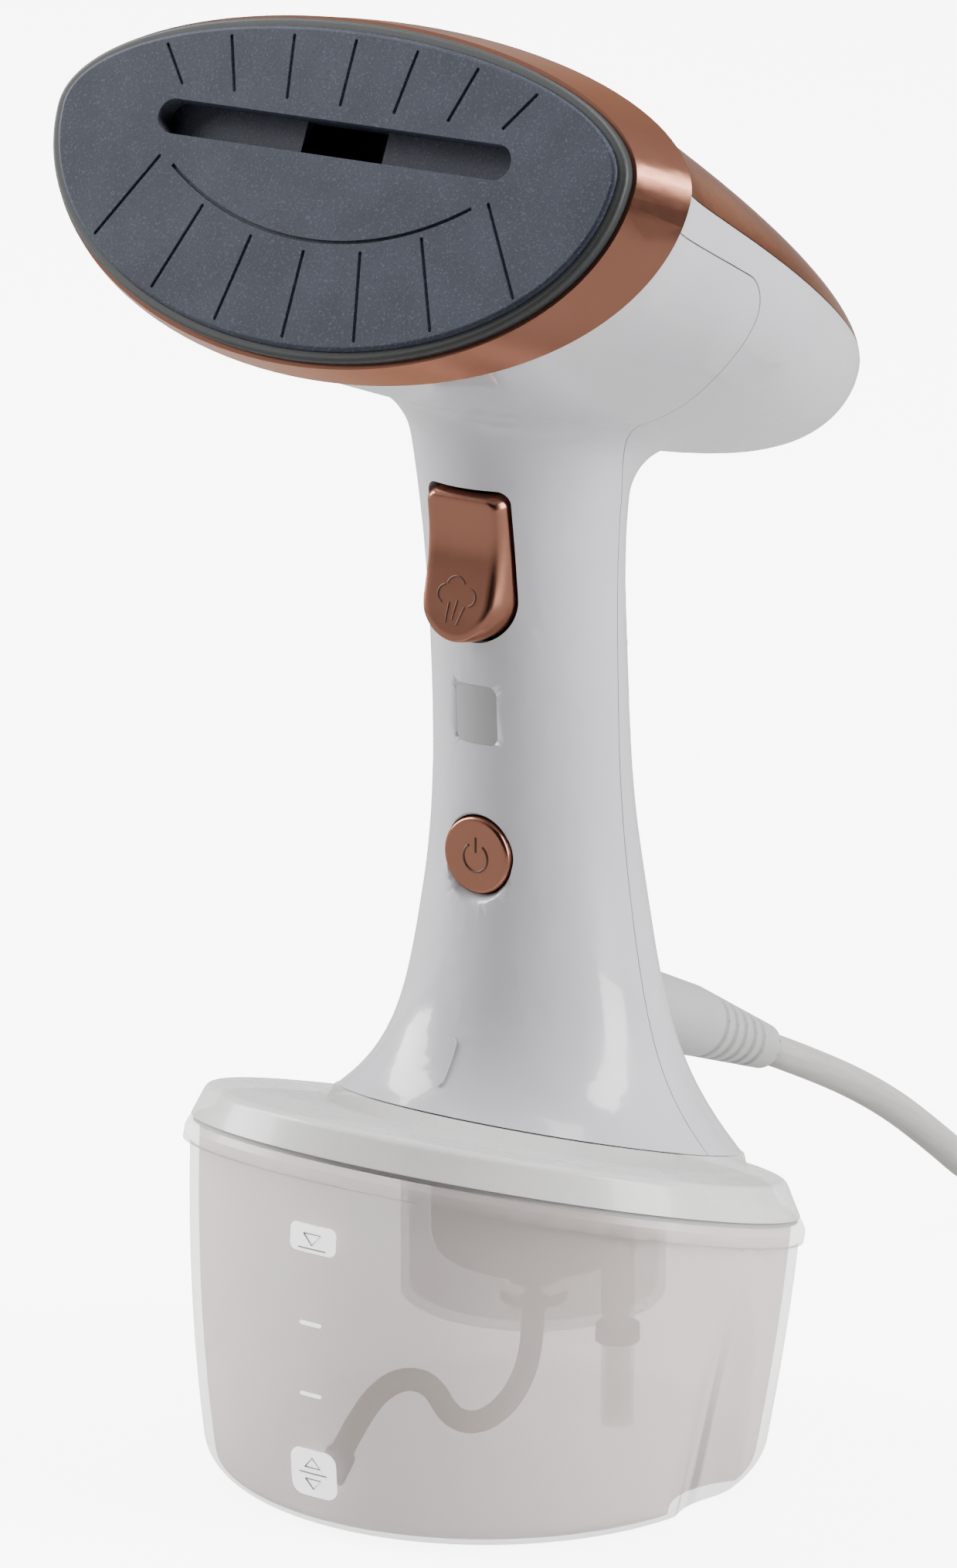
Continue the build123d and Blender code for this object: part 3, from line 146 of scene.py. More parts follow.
def points_on(curve):
    """The places along a curve, as its evaluated line gives them."""
    line = bpy.data.meshes.new_from_object(curve.evaluated_get(bpy.context.evaluated_depsgraph_get()))
    places = [v.co.copy() for v in line.vertices]
    bpy.data.meshes.remove(line)
    return places


def tube_mesh(name, path, radius, sides=TUBE_SIDES):
    """A closed round tube along a path, with its length in metres in U and its girth in V."""
    mesh = bpy.data.meshes.new(name)
    build = bmesh.new()
    layer = build.loops.layers.uv.new("along")
    first = (path[1] - path[0]).normalized()
    side = first.cross(Vector((1, 0, 0) if abs(first.z) > STEEP else (0, 0, 1))).normalized()
    rings, runs, run = [], [], 0.0
    for k, place in enumerate(path):
        ahead = (path[min(k + 1, len(path) - 1)] - path[max(k - 1, 0)]).normalized()
        side = (side - ahead * side.dot(ahead)).normalized()
        up = ahead.cross(side)
        ring = []
        for j in range(sides):
            a = 2 * math.pi * j / sides
            ring.append(build.verts.new(place + radius * (side * math.cos(a) + up * math.sin(a))))
        rings.append(ring)
        run += (place - path[k - 1]).length if k else 0
        runs.append(run)
    for k in range(len(rings) - 1):
        for j in range(sides):
            n = (j + 1) % sides
            face = build.faces.new((rings[k][j], rings[k][n], rings[k + 1][n], rings[k + 1][j]))
            corners = ((k, j), (k, j + 1), (k + 1, j + 1), (k + 1, j))
            for loop, (row, column) in zip(face.loops, corners):
                loop[layer].uv = (runs[row], column / sides)
    build.faces.new(list(reversed(rings[0])))
    build.faces.new(rings[-1])
    bmesh.ops.recalc_face_normals(build, faces=build.faces)
    build.to_mesh(mesh)
    build.free()
    mesh.shade_smooth()
    piece = bpy.data.objects.new(name, mesh)
    bpy.context.collection.objects.link(piece)
    return piece


def cord_path(name, route):
    """The smooth line of a cord, read from its spline."""
    curve = spline_curve(name, route)
    path = points_on(curve)
    bpy.data.objects.remove(curve)
    return path


lead_out = [(COIL_CENTRE[0] + COIL_OUTER, y, COIL_HIGH) for y in (LEAVE_COIL, BEND_TO_PLUG, PLUG_ENTRY_Y)]
lead_path = cord_path("lead_line", LEAD_ROUTE + coil_points() + lead_out)
lead = tube_mesh("mains_lead", lead_path, CORD_RADIUS)
hose_path = cord_path("hose_line", HOSE_ROUTE)
hose = tube_mesh("water_hose", hose_path, HOSE_RADIUS)


# ---------------------------------------------------------------- shader maths
MIX_SHARE, MIX_FIRST, MIX_SECOND, MIX_RESULT = 0, 6, 7, 2  # the sockets of a Mix node that mixes colours


class Wire:
    """A shader socket that takes part in Python arithmetic."""

    def __init__(self, finish, socket):
        self.finish, self.socket = finish, socket

    def maths(self, operation, first, second):
        return self.finish.node("ShaderNodeMath", {"operation": operation}, {0: first, 1: second})

    def __add__(self, other):
        return self.maths("ADD", self, other)

    def __sub__(self, other):
        return self.maths("SUBTRACT", self, other)

    def __rsub__(self, other):
        return self.maths("SUBTRACT", other, self)

    def __mul__(self, other):
        return self.maths("MULTIPLY", self, other)

    __radd__, __rmul__ = __add__, __mul__

    def above(self, limit, softness):
        """0 below the limit, rising to 1 over the softness."""
        settings = {"clamp": True}
        sockets = {"Value": self, "From Min": limit, "From Max": limit + softness}
        return self.finish.node("ShaderNodeMapRange", settings, sockets)


class Finish:
    """One material on a Principled shader, with its constants and the patterns that feed it."""

    def __init__(self, name, colour, roughness, **constants):
        self.material = bpy.data.materials.new(name)
        self.material.use_nodes = True
        self.tree = self.material.node_tree
        self.shader = self.tree.nodes["Principled BSDF"]
        self.place = self.node("ShaderNodeTexCoord", {}, {}, "Object")
        self.feed("Base Color", (*colour, 1))
        self.feed("Roughness", roughness)
        for socket, value in constants.items():
            self.feed(socket.replace("_", " "), value)

    def node(self, kind, settings, sockets, output=0):
        """Adds a node: its settings first, then what its sockets hold or are linked to."""
        made = self.tree.nodes.new(kind)
        for key, value in settings.items():
            setattr(made, key, value)
        for key, value in sockets.items():
            if isinstance(value, Wire):
                self.tree.links.new(value.socket, made.inputs[key])
            else:
                made.inputs[key].default_value = value
        return Wire(self, made.outputs[output])

    def feed(self, socket, value):
        """Gives one of the shader's own sockets a constant or a pattern."""
        if isinstance(value, Wire):
            self.tree.links.new(value.socket, self.shader.inputs[socket])
        else:
            self.shader.inputs[socket].default_value = value

    def noise(self, size, detail=3.0):
        """Soft noise around 0.5, with features of about this size in metres."""
        sockets = {"Vector": self.place, "Scale": 1 / size, "Detail": detail}
        return self.node("ShaderNodeTexNoise", {}, sockets)

    def blend(self, share, first, second):
        """A colour between two."""
        sockets = {MIX_SHARE: share}
        for socket, colour in ((MIX_FIRST, first), (MIX_SECOND, second)):
            sockets[socket] = (*colour, 1) if isinstance(colour, tuple) else colour
        return self.node("ShaderNodeMix", {"data_type": "RGBA"}, sockets, MIX_RESULT)

    def bump(self, height, depth, strength=1.0):
        """Surface relief of this depth in metres, from a height pattern."""
        sockets = {"Height": height, "Distance": depth, "Strength": strength}
        self.feed("Normal", self.node("ShaderNodeBump", {}, sockets))


SMOOTH = 2  # octaves of a soft pattern
DRIFT_FROM, DRIFT_SOFTNESS = 0.35, 0.3  # where a slow drift of colour starts, and how gradually it comes


def shaded(colour, share):
    """A darker tone of a colour."""
    return tuple(share * part for part in colour)


def moulded(name, colour, roughness, **constants):
    """Moulded plastic: a very slight drift of colour and gloss, and a fine skin texture."""
    finish = Finish(name, colour, roughness, **constants)
    drift = finish.noise(30 * mm, SMOOTH).above(DRIFT_FROM, DRIFT_SOFTNESS)
    finish.feed("Base Color", finish.blend(drift, shaded(colour, 0.94), colour))
    gloss_drift = 0.06
    finish.feed("Roughness", finish.noise(4 * mm) * gloss_drift + (roughness - gloss_drift / 2))
    finish.bump(finish.noise(0.5 * mm, SMOOTH), 0.004 * mm)
    return finish.material


def metal(name, colour, roughness, **constants):
    """Metal with faint drawn streaks along its height."""
    finish = Finish(name, colour, roughness, Metallic=1.0, **constants)
    stretched = finish.node("ShaderNodeMapping", {}, {"Vector": finish.place, "Scale": (1.0, 1.0, 0.05)})
    sockets = {"Vector": stretched, "Scale": 3000, "Detail": SMOOTH}
    streaks = finish.node("ShaderNodeTexNoise", {}, sockets)
    gloss_drift = 0.12
    finish.feed("Roughness", streaks * gloss_drift + (roughness - gloss_drift / 2))
    finish.bump(streaks, 0.003 * mm)
    return finish.material


def plated():
    """Rose-gold plating on moulded plastic: satin, slightly uneven, still pink where it is seen edge-on."""
    colour, deeper, edge_tint = (0.31, 0.138, 0.094), (0.295, 0.13, 0.088), (1.0, 0.70, 0.56, 1)
    finish = Finish(
        "rose_gold", colour, 0.26, Metallic=0.97, Specular_Tint=edge_tint,
        Coat_Weight=0.05, Coat_Roughness=0.12,
    )
    drift = finish.noise(18 * mm, SMOOTH).above(0.3, 0.4)
    finish.feed("Base Color", finish.blend(drift, deeper, colour))
    finish.feed("Roughness", finish.noise(3 * mm) * 0.08 + 0.20)
    finish.bump(finish.noise(0.35 * mm, SMOOTH), 0.003 * mm)
    return finish.material


def speckled_plate():
    """Ceramic-coated soleplate: blue-grey with fine light and dark speckles."""
    finish = Finish("plate", (0.075, 0.085, 0.115), 0.5, Specular_IOR_Level=0.3)
    fine = finish.noise(0.45 * mm, 4)
    cloud = finish.noise(12 * mm, SMOOTH).above(DRIFT_FROM, DRIFT_SOFTNESS)
    light_flecks = fine.above(0.56, 0.08) * 0.45
    dark_flecks = finish.noise(0.7 * mm).above(0.58, 0.08) * 0.5
    base = finish.blend(cloud, (0.026, 0.031, 0.050), (0.037, 0.043, 0.066))
    flecked = finish.blend(light_flecks, base, (0.11, 0.125, 0.17))
    finish.feed("Base Color", finish.blend(dark_flecks, flecked, (0.018, 0.021, 0.034)))
    finish.feed("Roughness", fine * 0.25 + 0.42)
    finish.bump(fine, 0.02 * mm, 0.7)
    return finish.material


def milky(name, colour, opacity, roughness):
    """See-through frosted plastic, cloudier in places."""
    finish = Finish(name, colour, roughness, Coat_Weight=0.3, Coat_Roughness=0.08)
    cloud = finish.noise(45 * mm, SMOOTH)
    drift = cloud.above(DRIFT_FROM, DRIFT_SOFTNESS)
    finish.feed("Base Color", finish.blend(drift, shaded(colour, 0.95), colour))
    cloudiness = 0.08
    finish.feed("Alpha", cloud * cloudiness + (opacity - cloudiness / 2))
    finish.feed("Roughness", finish.noise(6 * mm) * cloudiness + (roughness - cloudiness / 2))
    finish.bump(finish.noise(0.6 * mm, SMOOTH), 0.003 * mm)
    return finish.material


def sheath():
    """The lead's matte sheath, with fine marks along its length."""
    finish = Finish("cord", (0.56, 0.54, 0.51), 0.55)
    along = finish.node("ShaderNodeUVMap", {"uv_map": "along"}, {})
    stretched = finish.node("ShaderNodeMapping", {}, {"Vector": along, "Scale": (60.0, 14.0, 1.0)})
    marks = finish.node("ShaderNodeTexNoise", {}, {"Vector": stretched, "Scale": 1.0, "Detail": 3})
    worn = marks.above(DRIFT_FROM, DRIFT_SOFTNESS)
    finish.feed("Base Color", finish.blend(worn, (0.44, 0.425, 0.40), (0.50, 0.48, 0.455)))
    finish.feed("Roughness", marks * 0.15 + 0.45)
    finish.bump(marks, 0.015 * mm, 0.5)
    return finish.material


def woven(name, colour):
    """Strap webbing: crossed ridges."""
    finish = Finish(name, colour, 0.8)
    sockets = {"Vector": finish.place, "Scale": 900}
    across = finish.node("ShaderNodeTexWave", {"bands_direction": "X"}, sockets)
    down = finish.node("ShaderNodeTexWave", {"bands_direction": "Z"}, sockets)
    weave = across * down
    finish.feed("Base Color", finish.blend(weave, shaded(colour, 0.5), colour))
    finish.bump(weave, 0.15 * mm)
    return finish.material


def tracked_board():
    """Circuit board: green mask over a grid of copper tracks."""
    finish = Finish("board", (0.03, 0.16, 0.08), 0.4)
    sockets = {"Vector": finish.place, "Scale": 500, "Row Height": 0.5, "Mortar Size": 0.04}
    grid = finish.node("ShaderNodeTexBrick", {}, sockets, "Fac")
    finish.feed("Base Color", finish.blend(grid, (0.03, 0.16, 0.08), (0.10, 0.30, 0.12)))
    finish.bump(grid, 0.03 * mm)
    return finish.material


WHITE = (1, 1, 1, 1)
FINISHES = {
    "shell": moulded("shell", (0.66, 0.66, 0.70), 0.24, Coat_Weight=0.5, Coat_Roughness=0.05),
    "rose_gold": plated(),
    "rose_gold_dark": moulded("rose_gold_dark", (0.13, 0.045, 0.028), 0.5),
    "sign_grey": moulded("sign_grey", (0.35, 0.34, 0.33), 0.5),
    "plate": speckled_plate(),
    "surround": moulded("surround", (0.03, 0.032, 0.033), 0.5),
    "tank_cover": milky("tank_cover", (0.92, 0.90, 0.88), 0.82, 0.28),
    "tank_clear": milky("tank_clear", (0.82, 0.715, 0.67), 0.52, 0.3),
    "seal_rubber": moulded("seal_rubber", (0.42, 0.42, 0.42), 0.6),
    "inner_plastic": moulded("inner_plastic", (0.13, 0.22, 0.34), 0.45),
    "hose": moulded("hose", (0.50, 0.475, 0.465), 0.45),
    "dock_clear": milky("dock_clear", (0.76, 0.80, 0.88), 0.30, 0.25),
    "clear_tube": milky("clear_tube", (0.9, 0.89, 0.88), 0.3, 0.2),
    # the marks' ink also glows: its emission is a painted brightness that no lamp gives
    "mark_ink": moulded("mark_ink", (0.9, 0.9, 0.89), 0.5, Emission_Color=WHITE, Emission_Strength=1.6),
    "cord": sheath(),
    "cord_tie": woven("cord_tie", (0.10, 0.10, 0.11)),
    "plug": moulded("plug", (0.56, 0.54, 0.51), 0.4),
    "brass_pins": metal("brass_pins", (0.75, 0.6, 0.33), 0.28),
    "steel": metal("steel", (0.55, 0.56, 0.57), 0.3),
    "window": moulded("window", (0.42, 0.42, 0.42), 0.35, Coat_Weight=0.4),
    "board": tracked_board(),
    "led": moulded("led", (0.7, 0.7, 0.7), 0.15),
    "winding": metal("winding", (0.45, 0.2, 0.08), 0.4),
    "silicone": moulded("silicone", (0.6, 0.6, 0.6), 0.5),
    "die_cast": metal("die_cast", (0.55, 0.56, 0.58), 0.5),
    "dock": moulded("dock", (0.27, 0.45, 0.74), 0.35),
    "relief": moulded("relief", (0.48, 0.48, 0.475), 0.42),
}

# ---------------------------------------------------------------- pieces shaped like their CAD node
SHARP_ANGLE, DRAWN_SHARP_ANGLE = math.radians(28), math.radians(50)  # edges steeper than this stay sharp
LEVEL = math.cos(math.radians(1.5))  # faces within this angle of the soleplate's front are part of it
SAME_POINT = 0.002 * mm
FULL_WEIGHT = 100  # large faces lead the shading
NODES_OF_BODY = frame["record"]["behaviour"]["bodies"]
body_of_node = {node: body for body, nodes in NODES_OF_BODY.items() for node in nodes}
finish_of_node = {part["node"]: part["material_slot"] for part in frame["record"]["subparts"]}
finish_of_node.update(
    tank_cover="tank_cover", alignment_mark="shell", vent_tube="clear_tube", dock_cup="dock_clear",
)


def place_piece(piece, body, finish):
    """Gives a piece its finish, and sets it on a body if it rides on one alone."""
    piece.data.materials.clear()
    piece.data.materials.append(FINISHES[finish])
    if body:
        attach(piece, body)


def level_face(mesh):
    """Keeps the soleplate's flat front, and what lies parallel to it, exactly flat in its shading."""
    facing_front = (face for face in mesh.polygons if face.normal.y < -0.5)
    front = max(facing_front, key=lambda face: face.area).normal.copy()
    normals = [corner.vector.copy() for corner in mesh.corner_normals]
    for face in mesh.polygons:
        if face.normal.dot(front) > LEVEL:
            for corner in face.loop_indices:
                normals[corner] = front
    mesh.normals_split_custom_set(normals)


def finished(node):
    """A smooth-shaded copy of a CAD node, in its finish, on its body."""
    mesh = frame["nodes"][node].data.copy()
    mesh.name = node + "_piece"
    build = bmesh.new()
    build.from_mesh(mesh)
    bmesh.ops.remove_doubles(build, verts=build.verts, dist=SAME_POINT)
    build.to_mesh(mesh)
    build.free()
    mesh.shade_smooth()
    mesh.set_sharp_from_angle(angle=SHARP_ANGLE)
    piece = bpy.data.objects.new(node + "_piece", mesh)
    bpy.context.collection.objects.link(piece)
    if node == "soleplate":
        level_face(mesh)
    else:
        even = piece.modifiers.new("even_shading", "WEIGHTED_NORMAL")
        even.keep_sharp = True
        even.weight = FULL_WEIGHT
    place_piece(piece, body_of_node[node], finish_of_node[node])
    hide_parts(node)
    return piece


REDRAWN_NODES = {"power_cord", "cord_coil", "suction_hose", "trigger"}
pieces = {node: finished(node) for node in body_of_node if node not in REDRAWN_NODES}

# ---------------------------------------------------------------- springs, each given a mesh of its own
TRIGGER_TRAVEL, PUMP_TRAVEL = 1.6 * mm, 3.2 * mm
for node, joint, axis, travel in (
    ("trigger_spring", "trigger_press", Vector((0, 1, 0)), TRIGGER_TRAVEL),
    ("pump_spring", "pump_stroke", Vector((0, 0, 1)), PUMP_TRAVEL),
):
    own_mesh(pieces[node])

# ---------------------------------------------------------------- cords: the lead on no body, the hose on the tank
place_piece(lead, None, "cord")
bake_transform(lead)
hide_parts("power_cord", "cord_coil")
place_piece(hose, "tank", "hose")
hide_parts("suction_hose")


def mesh_piece(name, build):
    """A smooth-shaded object from a finished build."""
    mesh = bpy.data.meshes.new(name)
    build.to_mesh(mesh)
    build.free()
    mesh.shade_smooth()
    mesh.set_sharp_from_angle(angle=DRAWN_SHARP_ANGLE)
    piece = bpy.data.objects.new(name, mesh)
    bpy.context.collection.objects.link(piece)
    return piece


# ---------------------------------------------------------------- trigger cap
TRIGGER_LOW, TRIGGER_HIGH = (corner.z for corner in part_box("trigger"))
TRIGGER_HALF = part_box("trigger")[1].x
TRIGGER_BACK_Y, TRIGGER_FACE_Y = -5.6 * mm, -12.5 * mm
HOLLOW, HOLLOW_RATE = 1.1 * mm, 1.25  # its depth, and how often it would fit in the height
KICK, KICK_FROM = 3.0 * mm, 0.25  # how far the finger end turns out, and the share of the height above it
KICK_CURVE_END = 0.65  # what the kick's curve comes to at the finger end
FACE_NARROWING, FACE_CORNER, LEAST_CORNER = 1.5 * mm, 2.6 * mm, 0.4 * mm
# the skirt's rings, from the back to the face: share of the narrowing, and share of the depth
SKIRT_RINGS = ((0.0, 0.0), (0.1, 0.55), (0.55, 0.9), (0.85, 0.975))
FACE_RINGS = (0.25, 1.3, 2.6, 3.9, 5.2, 6.4)  # how far the face's rings are drawn in past its edge, in mm
CENTRE_LINE = 1e-7  # nearer to the middle than this counts as on it


def trigger_face_y(z):
    """The front face's depth: slightly hollow above, kicking forward at the finger end."""
    down = (TRIGGER_HIGH - z) / (TRIGGER_HIGH - TRIGGER_LOW)
    hollow = HOLLOW * math.sin(math.pi * min(1, HOLLOW_RATE * down))
    kick = KICK * max(0, down - KICK_FROM) ** 1.5 / KICK_CURVE_END
    return TRIGGER_FACE_Y + hollow - kick


def cap_outline(inset, count=14):
    """The trigger's front view, drawn in by inset: round top corners and a half-round lower end."""
    half, top, bottom = TRIGGER_HALF - inset, TRIGGER_HIGH - inset, TRIGGER_LOW + inset
    corner = max(LEAST_CORNER, FACE_CORNER - inset / 2)
    top_end, low_end = top - corner, bottom + half
    outline = []
    for centre_x, start in ((half - corner, 0), (corner - half, 90)):
        for k in range(count + 1):
            a = math.radians(start + 90 * k / count)
            outline.append((centre_x + corner * math.cos(a), top_end + corner * math.sin(a)))
    for k in range(1, count):  # down the left side
        share = k / count
        outline.append((-half, top_end * (1 - share) + low_end * share))
    for k in range(3 * count + 1):  # round the lower end
        a = math.radians(180 + 180 * k / (3 * count))
        outline.append((half * math.cos(a), low_end + half * math.sin(a)))
    for k in range(1, count):  # up the right side
        share = k / count
        outline.append((half, low_end * (1 - share) + top_end * share))
    return outline


def trigger_cap():
    """The plated trigger: a flared skirt, a soft edge and a hollow front face."""
    build = bmesh.new()
    rings = [(narrowing * FACE_NARROWING, rise) for narrowing, rise in SKIRT_RINGS]
    rings += [(FACE_NARROWING + extra * mm, 1) for extra in FACE_RINGS]
    loops = []
    for inset, rise in rings:
        verts = []
        for x, z in cap_outline(inset):
            y = TRIGGER_BACK_Y + (trigger_face_y(z) - TRIGGER_BACK_Y) * rise
            verts.append(build.verts.new((x, y, z)))
        loops.append(verts)
    for lower, upper in zip(loops, loops[1:]):
        for k in range(len(lower)):
            n = (k + 1) % len(lower)
            build.faces.new((lower[k], lower[n], upper[n], upper[k]))
    inner = sorted(loops[-1], key=lambda v: -v.co.z)
    left = [v for v in inner if v.co.x < -CENTRE_LINE]
    right = [v for v in inner if v.co.x > CENTRE_LINE]
    for k in range(len(left) - 1):
        build.faces.new((left[k], left[k + 1], right[k + 1], right[k]))
    build.faces.new((left[-1], inner[-1], right[-1]))
    build.faces.new(list(reversed(loops[0])))
    bmesh.ops.recalc_face_normals(build, faces=build.faces)
    return mesh_piece("trigger_cap", build)


cap = trigger_cap()
place_piece(cap, "trigger", "rose_gold")
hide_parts("trigger")

# ---------------------------------------------------------------- engraved and printed signs
CLOUD_STROKE, POWER_STROKE, LEVEL_STROKE = 0.2 * mm, 0.25 * mm, 0.16 * mm
CLOUD_Z, FULL_Z, LOW_Z = 175.2 * mm, 59.5 * mm, 12.5 * mm
NEAR = 1.5 * mm  # how far round the nearest mark point the tank's front is read


def arc(centre_x, centre_z, radius, start, end, count=12):
    """Points on an arc in the front view, in mm."""
    angles = [math.radians(start + (end - start) * k / count) for k in range(count + 1)]
    return [(centre_x + radius * math.cos(a), centre_z + radius * math.sin(a)) for a in angles]


def sign(name, strokes, middle_z, surface_y, body, finish, stroke):
    """A sign drawn in round strokes that lie half sunk in a surface seen from the front."""
    build = bmesh.new()
    for k, points in enumerate(strokes):
        path = []
        for x, z in points:
            place_z = middle_z + z * mm
            path.append(Vector((x * mm, surface_y(x * mm, place_z), place_z)))
        part = tube_mesh(f"{name}_{k}", path, stroke, SIGN_SIDES)
        build.from_mesh(part.data)
        bpy.data.objects.remove(part)
    place_piece(mesh_piece(name, build), body, finish)


cloud = [
    arc(-2.7, -0.2, 1.7, 250, 100), arc(-0.5, 1.2, 2.1, 165, 25), arc(2.7, -0.3, 1.6, 95, -80),
    [(-1.5, -1.6), (-1.6, -3.6), (-1.7, -5.4)], [(0.3, -1.1), (0.0, -3.0), (-0.3, -4.7)],
    [(2.1, -2.1), (1.5, -3.8), (0.8, -5.6)],
]
sign(
    "steam_sign", cloud, CLOUD_Z, lambda x, z: trigger_face_y(z), "trigger", "rose_gold_dark", CLOUD_STROKE,
)

button_low, button_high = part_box("set_button")
BUTTON_Z = (button_low.z + button_high.z) / 2
power = [arc(0, -0.4, 2.8, 125, 415, 24), [(0, 0.6), (0, 2.0), (0, 3.6)]]
sign(
    "power_sign", power, BUTTON_Z, lambda x, z: button_low.y, "set_button", "rose_gold_dark", POWER_STROKE,
)


def tank_front_y(x, z):
    """The tank wall's front, read from the level marks' own surface."""
    marks = [v.co for v in frame["nodes"]["level_marks"].data.vertices]
    nearest = min(marks, key=lambda place: (place.x - x) ** 2 + (place.z - z) ** 2)
    around = (place for place in marks if abs(place.z - nearest.z) < NEAR and abs(place.x - nearest.x) < NEAR)
    return min(place.y for place in around)


full = [[(-2.0, 1.0), (0.0, -1.2), (2.0, 1.0), (-2.0, 1.0)], [(-3.2, -1.9), (0, -1.9), (3.2, -1.9)]]
sign("full_sign", full, FULL_Z, tank_front_y, "tank", "sign_grey", LEVEL_STROKE)
empty = [
    [(-3.2, 0.0), (0, 0.0), (3.2, 0.0)], [(-1.8, 1.2), (0.0, 3.2), (1.8, 1.2), (-1.8, 1.2)],
    [(-1.8, -1.2), (0.0, -3.2), (1.8, -1.2), (-1.8, -1.2)],
]
sign("low_sign", empty, LOW_Z, tank_front_y, "tank", "sign_grey", LEVEL_STROKE)

# ---------------------------------------------------------------- ridges that repeat
SOFTENING_LEVEL, EDGE_HOLD = 3, 0.55  # how finely a ridge is softened, and how firmly it keeps its edges


def ridge_tree():
    """Geometry nodes for a row of soft-edged ridges."""
    tree = bpy.data.node_groups.new("ridge_row", "GeometryNodeTree")
    tree.interface.new_socket(name="Ridges", in_out="OUTPUT", socket_type="NodeSocketGeometry")
    for label, kind in (
        ("Count", "NodeSocketInt"), ("First place", "NodeSocketVector"), ("Step", "NodeSocketVector"),
        ("Ridge size", "NodeSocketVector"), ("Material", "NodeSocketMaterial"),
    ):
        tree.interface.new_socket(name=label, in_out="INPUT", socket_type=kind)
    given, result, row, ridge, soft, spread, real, paint = (tree.nodes.new(kind) for kind in (
        "NodeGroupInput", "NodeGroupOutput", "GeometryNodeMeshLine", "GeometryNodeMeshCube",
        "GeometryNodeSubdivisionSurface", "GeometryNodeInstanceOnPoints", "GeometryNodeRealizeInstances",
        "GeometryNodeSetMaterial",
    ))
    row.mode = "OFFSET"
    soft.inputs["Level"].default_value = SOFTENING_LEVEL
    soft.inputs["Edge Crease"].default_value = EDGE_HOLD
    for giver, output, taker, target in (
        (given, "Count", row, "Count"), (given, "First place", row, "Start Location"),
        (given, "Step", row, "Offset"), (given, "Ridge size", ridge, "Size"),
        (ridge, "Mesh", soft, "Mesh"), (row, "Mesh", spread, "Points"), (soft, "Mesh", spread, "Instance"),
        (spread, "Instances", real, "Geometry"), (real, "Geometry", paint, "Geometry"),
        (given, "Material", paint, "Material"), (paint, "Geometry", result, "Ridges"),
    ):
        tree.links.new(giver.outputs[output], taker.inputs[target])
    return tree


ridges = ridge_tree()


def ridge_row(name, count, first, step, size, body, finish):
    """A row of ridges as a plain mesh on a body."""
    seed = bpy.data.objects.new(name + "_seed", bpy.data.meshes.new(name + "_seed"))
    bpy.context.collection.objects.link(seed)
    modifier = seed.modifiers.new("ridges", "NODES")
    modifier.node_group = ridges
    values = {
        "Count": count, "First place": first, "Step": step, "Ridge size": size, "Material": FINISHES[finish],
    }
    for item in ridges.interface.items_tree:
        if item.item_type == "SOCKET" and item.in_out == "INPUT":
            modifier[item.identifier] = values[item.name]
    bpy.context.view_layer.update()
    mesh = bpy.data.meshes.new_from_object(seed.evaluated_get(bpy.context.evaluated_depsgraph_get()))
    bpy.data.objects.remove(seed)
    mesh.shade_smooth()
    piece = bpy.data.objects.new(name, mesh)
    bpy.context.collection.objects.link(piece)
    place_piece(piece, body, finish)
    return piece


PLUG_RIDGES, RIDGE_STEP, RIDGE_SIZE = 6, 3 * mm, (1.4 * mm, 1.8 * mm, 9 * mm)
FIRST_RIDGE = 5 * mm  # from the plug's end to the first ridge
plug_low, plug_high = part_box("mains_plug")
plug_middle = (plug_low + plug_high) / 2
for side, x in (("left", plug_low.x), ("right", plug_high.x)):
    ridge_row(
        f"plug_ridges_{side}", PLUG_RIDGES, (x, plug_low.y + FIRST_RIDGE, plug_middle.z),
        (0, RIDGE_STEP, 0), RIDGE_SIZE, "tank", "plug",
    )

# ---------------------------------------------------------------- floor and light
PAPER_GLOW = 6.5  # how bright paper and surroundings are to the camera
WORLD_STRENGTH = 0.8
PAPER, PAPER_AS_LIGHT = (0.93, 0.93, 0.93), (0.36, 0.36, 0.36)
GLOW, GLOW_AS_LIGHT = (1, 1, 1), (0.016, 0.016, 0.016)
FLOOR_SIZE, FLOOR_TOP = 40.0, -0.0002
DARK_SIDE = Vector((0.66, -0.74, 0.12)).normalized()  # where a dark panel stands in front of the steamer
# where the panel starts and where it is full, as a share of facing it, and the brightness at each
PANEL = {"From Min": 0.05, "From Max": 0.75, "To Min": 1.0, "To Max": 0.01}


def pale_floor():
    """Pale paper that glows where it is seen, and stays dim in reflections and as a light."""
    finish = Finish("pale_floor", PAPER, 0.8, Specular_IOR_Level=0.1, Emission_Strength=PAPER_GLOW)
    seen = finish.node("ShaderNodeLightPath", {}, {}, "Is Camera Ray")
    finish.feed("Base Color", finish.blend(seen, PAPER_AS_LIGHT, PAPER))
    finish.feed("Emission Color", finish.blend(seen, GLOW_AS_LIGHT, GLOW))
    finish.bump(finish.noise(5 * mm), 0.02 * mm)
    return finish.material


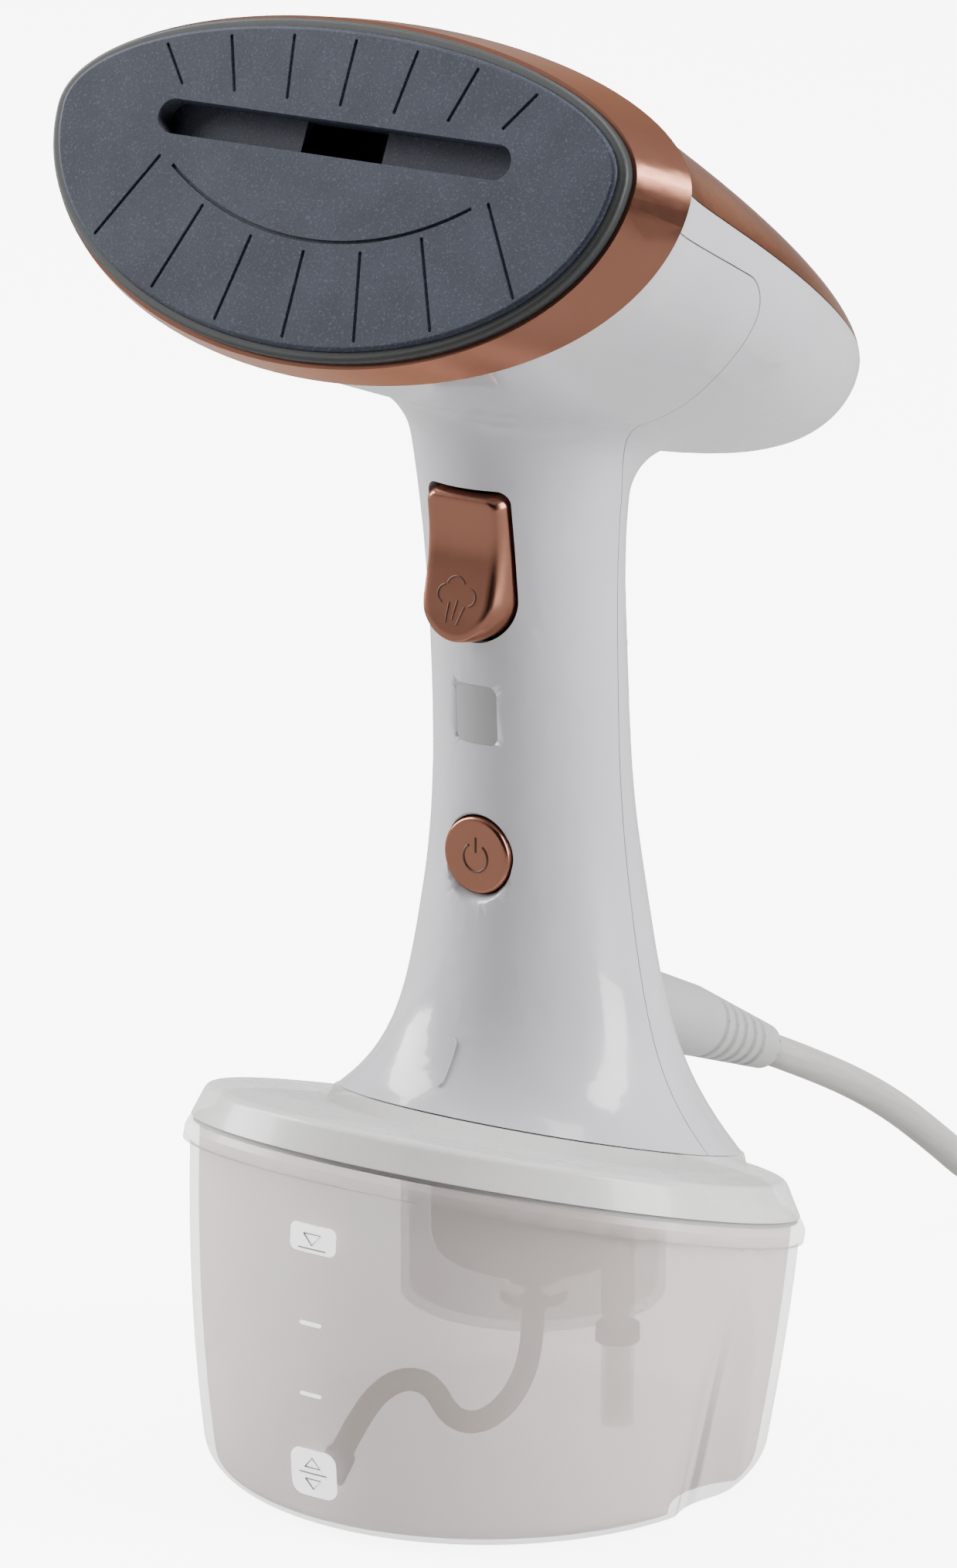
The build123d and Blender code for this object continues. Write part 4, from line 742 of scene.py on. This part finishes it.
floor_mesh = bpy.data.meshes.new("floor")
half = FLOOR_SIZE / 2
corners = [(x, y, FLOOR_TOP) for x, y in ((-half, -half), (half, -half), (half, half), (-half, half))]
floor_mesh.from_pydata(corners, [], [(0, 1, 2, 3)])
floor_mesh.materials.append(pale_floor())
floor = bpy.data.objects.new("floor", floor_mesh)
bpy.context.collection.objects.link(floor)


def studio_world():
    """Even white surroundings with one soft dark panel, which gives the gloss something to show."""
    world = bpy.data.worlds.new("studio")
    world.use_nodes = True
    tree = world.node_tree
    direction = tree.nodes.new("ShaderNodeTexCoord")
    towards = tree.nodes.new("ShaderNodeVectorMath")
    towards.operation = "DOT_PRODUCT"
    towards.inputs[1].default_value = DARK_SIDE
    panel = tree.nodes.new("ShaderNodeMapRange")
    panel.interpolation_type = "SMOOTHSTEP"
    for socket, value in PANEL.items():
        panel.inputs[socket].default_value = value
    tree.links.new(direction.outputs["Generated"], towards.inputs[0])
    tree.links.new(towards.outputs["Value"], panel.inputs["Value"])
    seen, shown = tree.nodes.new("ShaderNodeLightPath"), tree.nodes.new("ShaderNodeMix")
    shown.data_type = "RGBA"
    shown.inputs[MIX_SECOND].default_value = (PAPER_GLOW, PAPER_GLOW, PAPER_GLOW, 1)
    tree.links.new(seen.outputs["Is Camera Ray"], shown.inputs[MIX_SHARE])
    tree.links.new(panel.outputs["Result"], shown.inputs[MIX_FIRST])
    background = tree.nodes["Background"]
    tree.links.new(shown.outputs[MIX_RESULT], background.inputs["Color"])
    background.inputs["Strength"].default_value = WORLD_STRENGTH
    bpy.context.scene.world = world


studio_world()


def softbox(name, place, size, power):
    """A soft rectangular light aimed at the middle of the steamer."""
    data = bpy.data.lights.new(name, "AREA")
    data.shape = "RECTANGLE"
    data.size, data.size_y = size
    data.energy = power
    light = bpy.data.objects.new(name, data)
    light.location = place
    light.rotation_euler = (VIEW_CENTRE - Vector(place)).to_track_quat("-Z", "Y").to_euler()
    bpy.context.collection.objects.link(light)


# name, place in m, width and height in m, power in W
SOFTBOXES = (
    ("key", (-2.0, -0.4, 1.1), (1.1, 1.8), 88),
    ("edge", (1.8, 0.5, 0.9), (0.8, 1.7), 66),
    ("top", (0.1, 0.2, 2.0), (1.2, 1.2), 30),
)
for box in SOFTBOXES:
    softbox(*box)
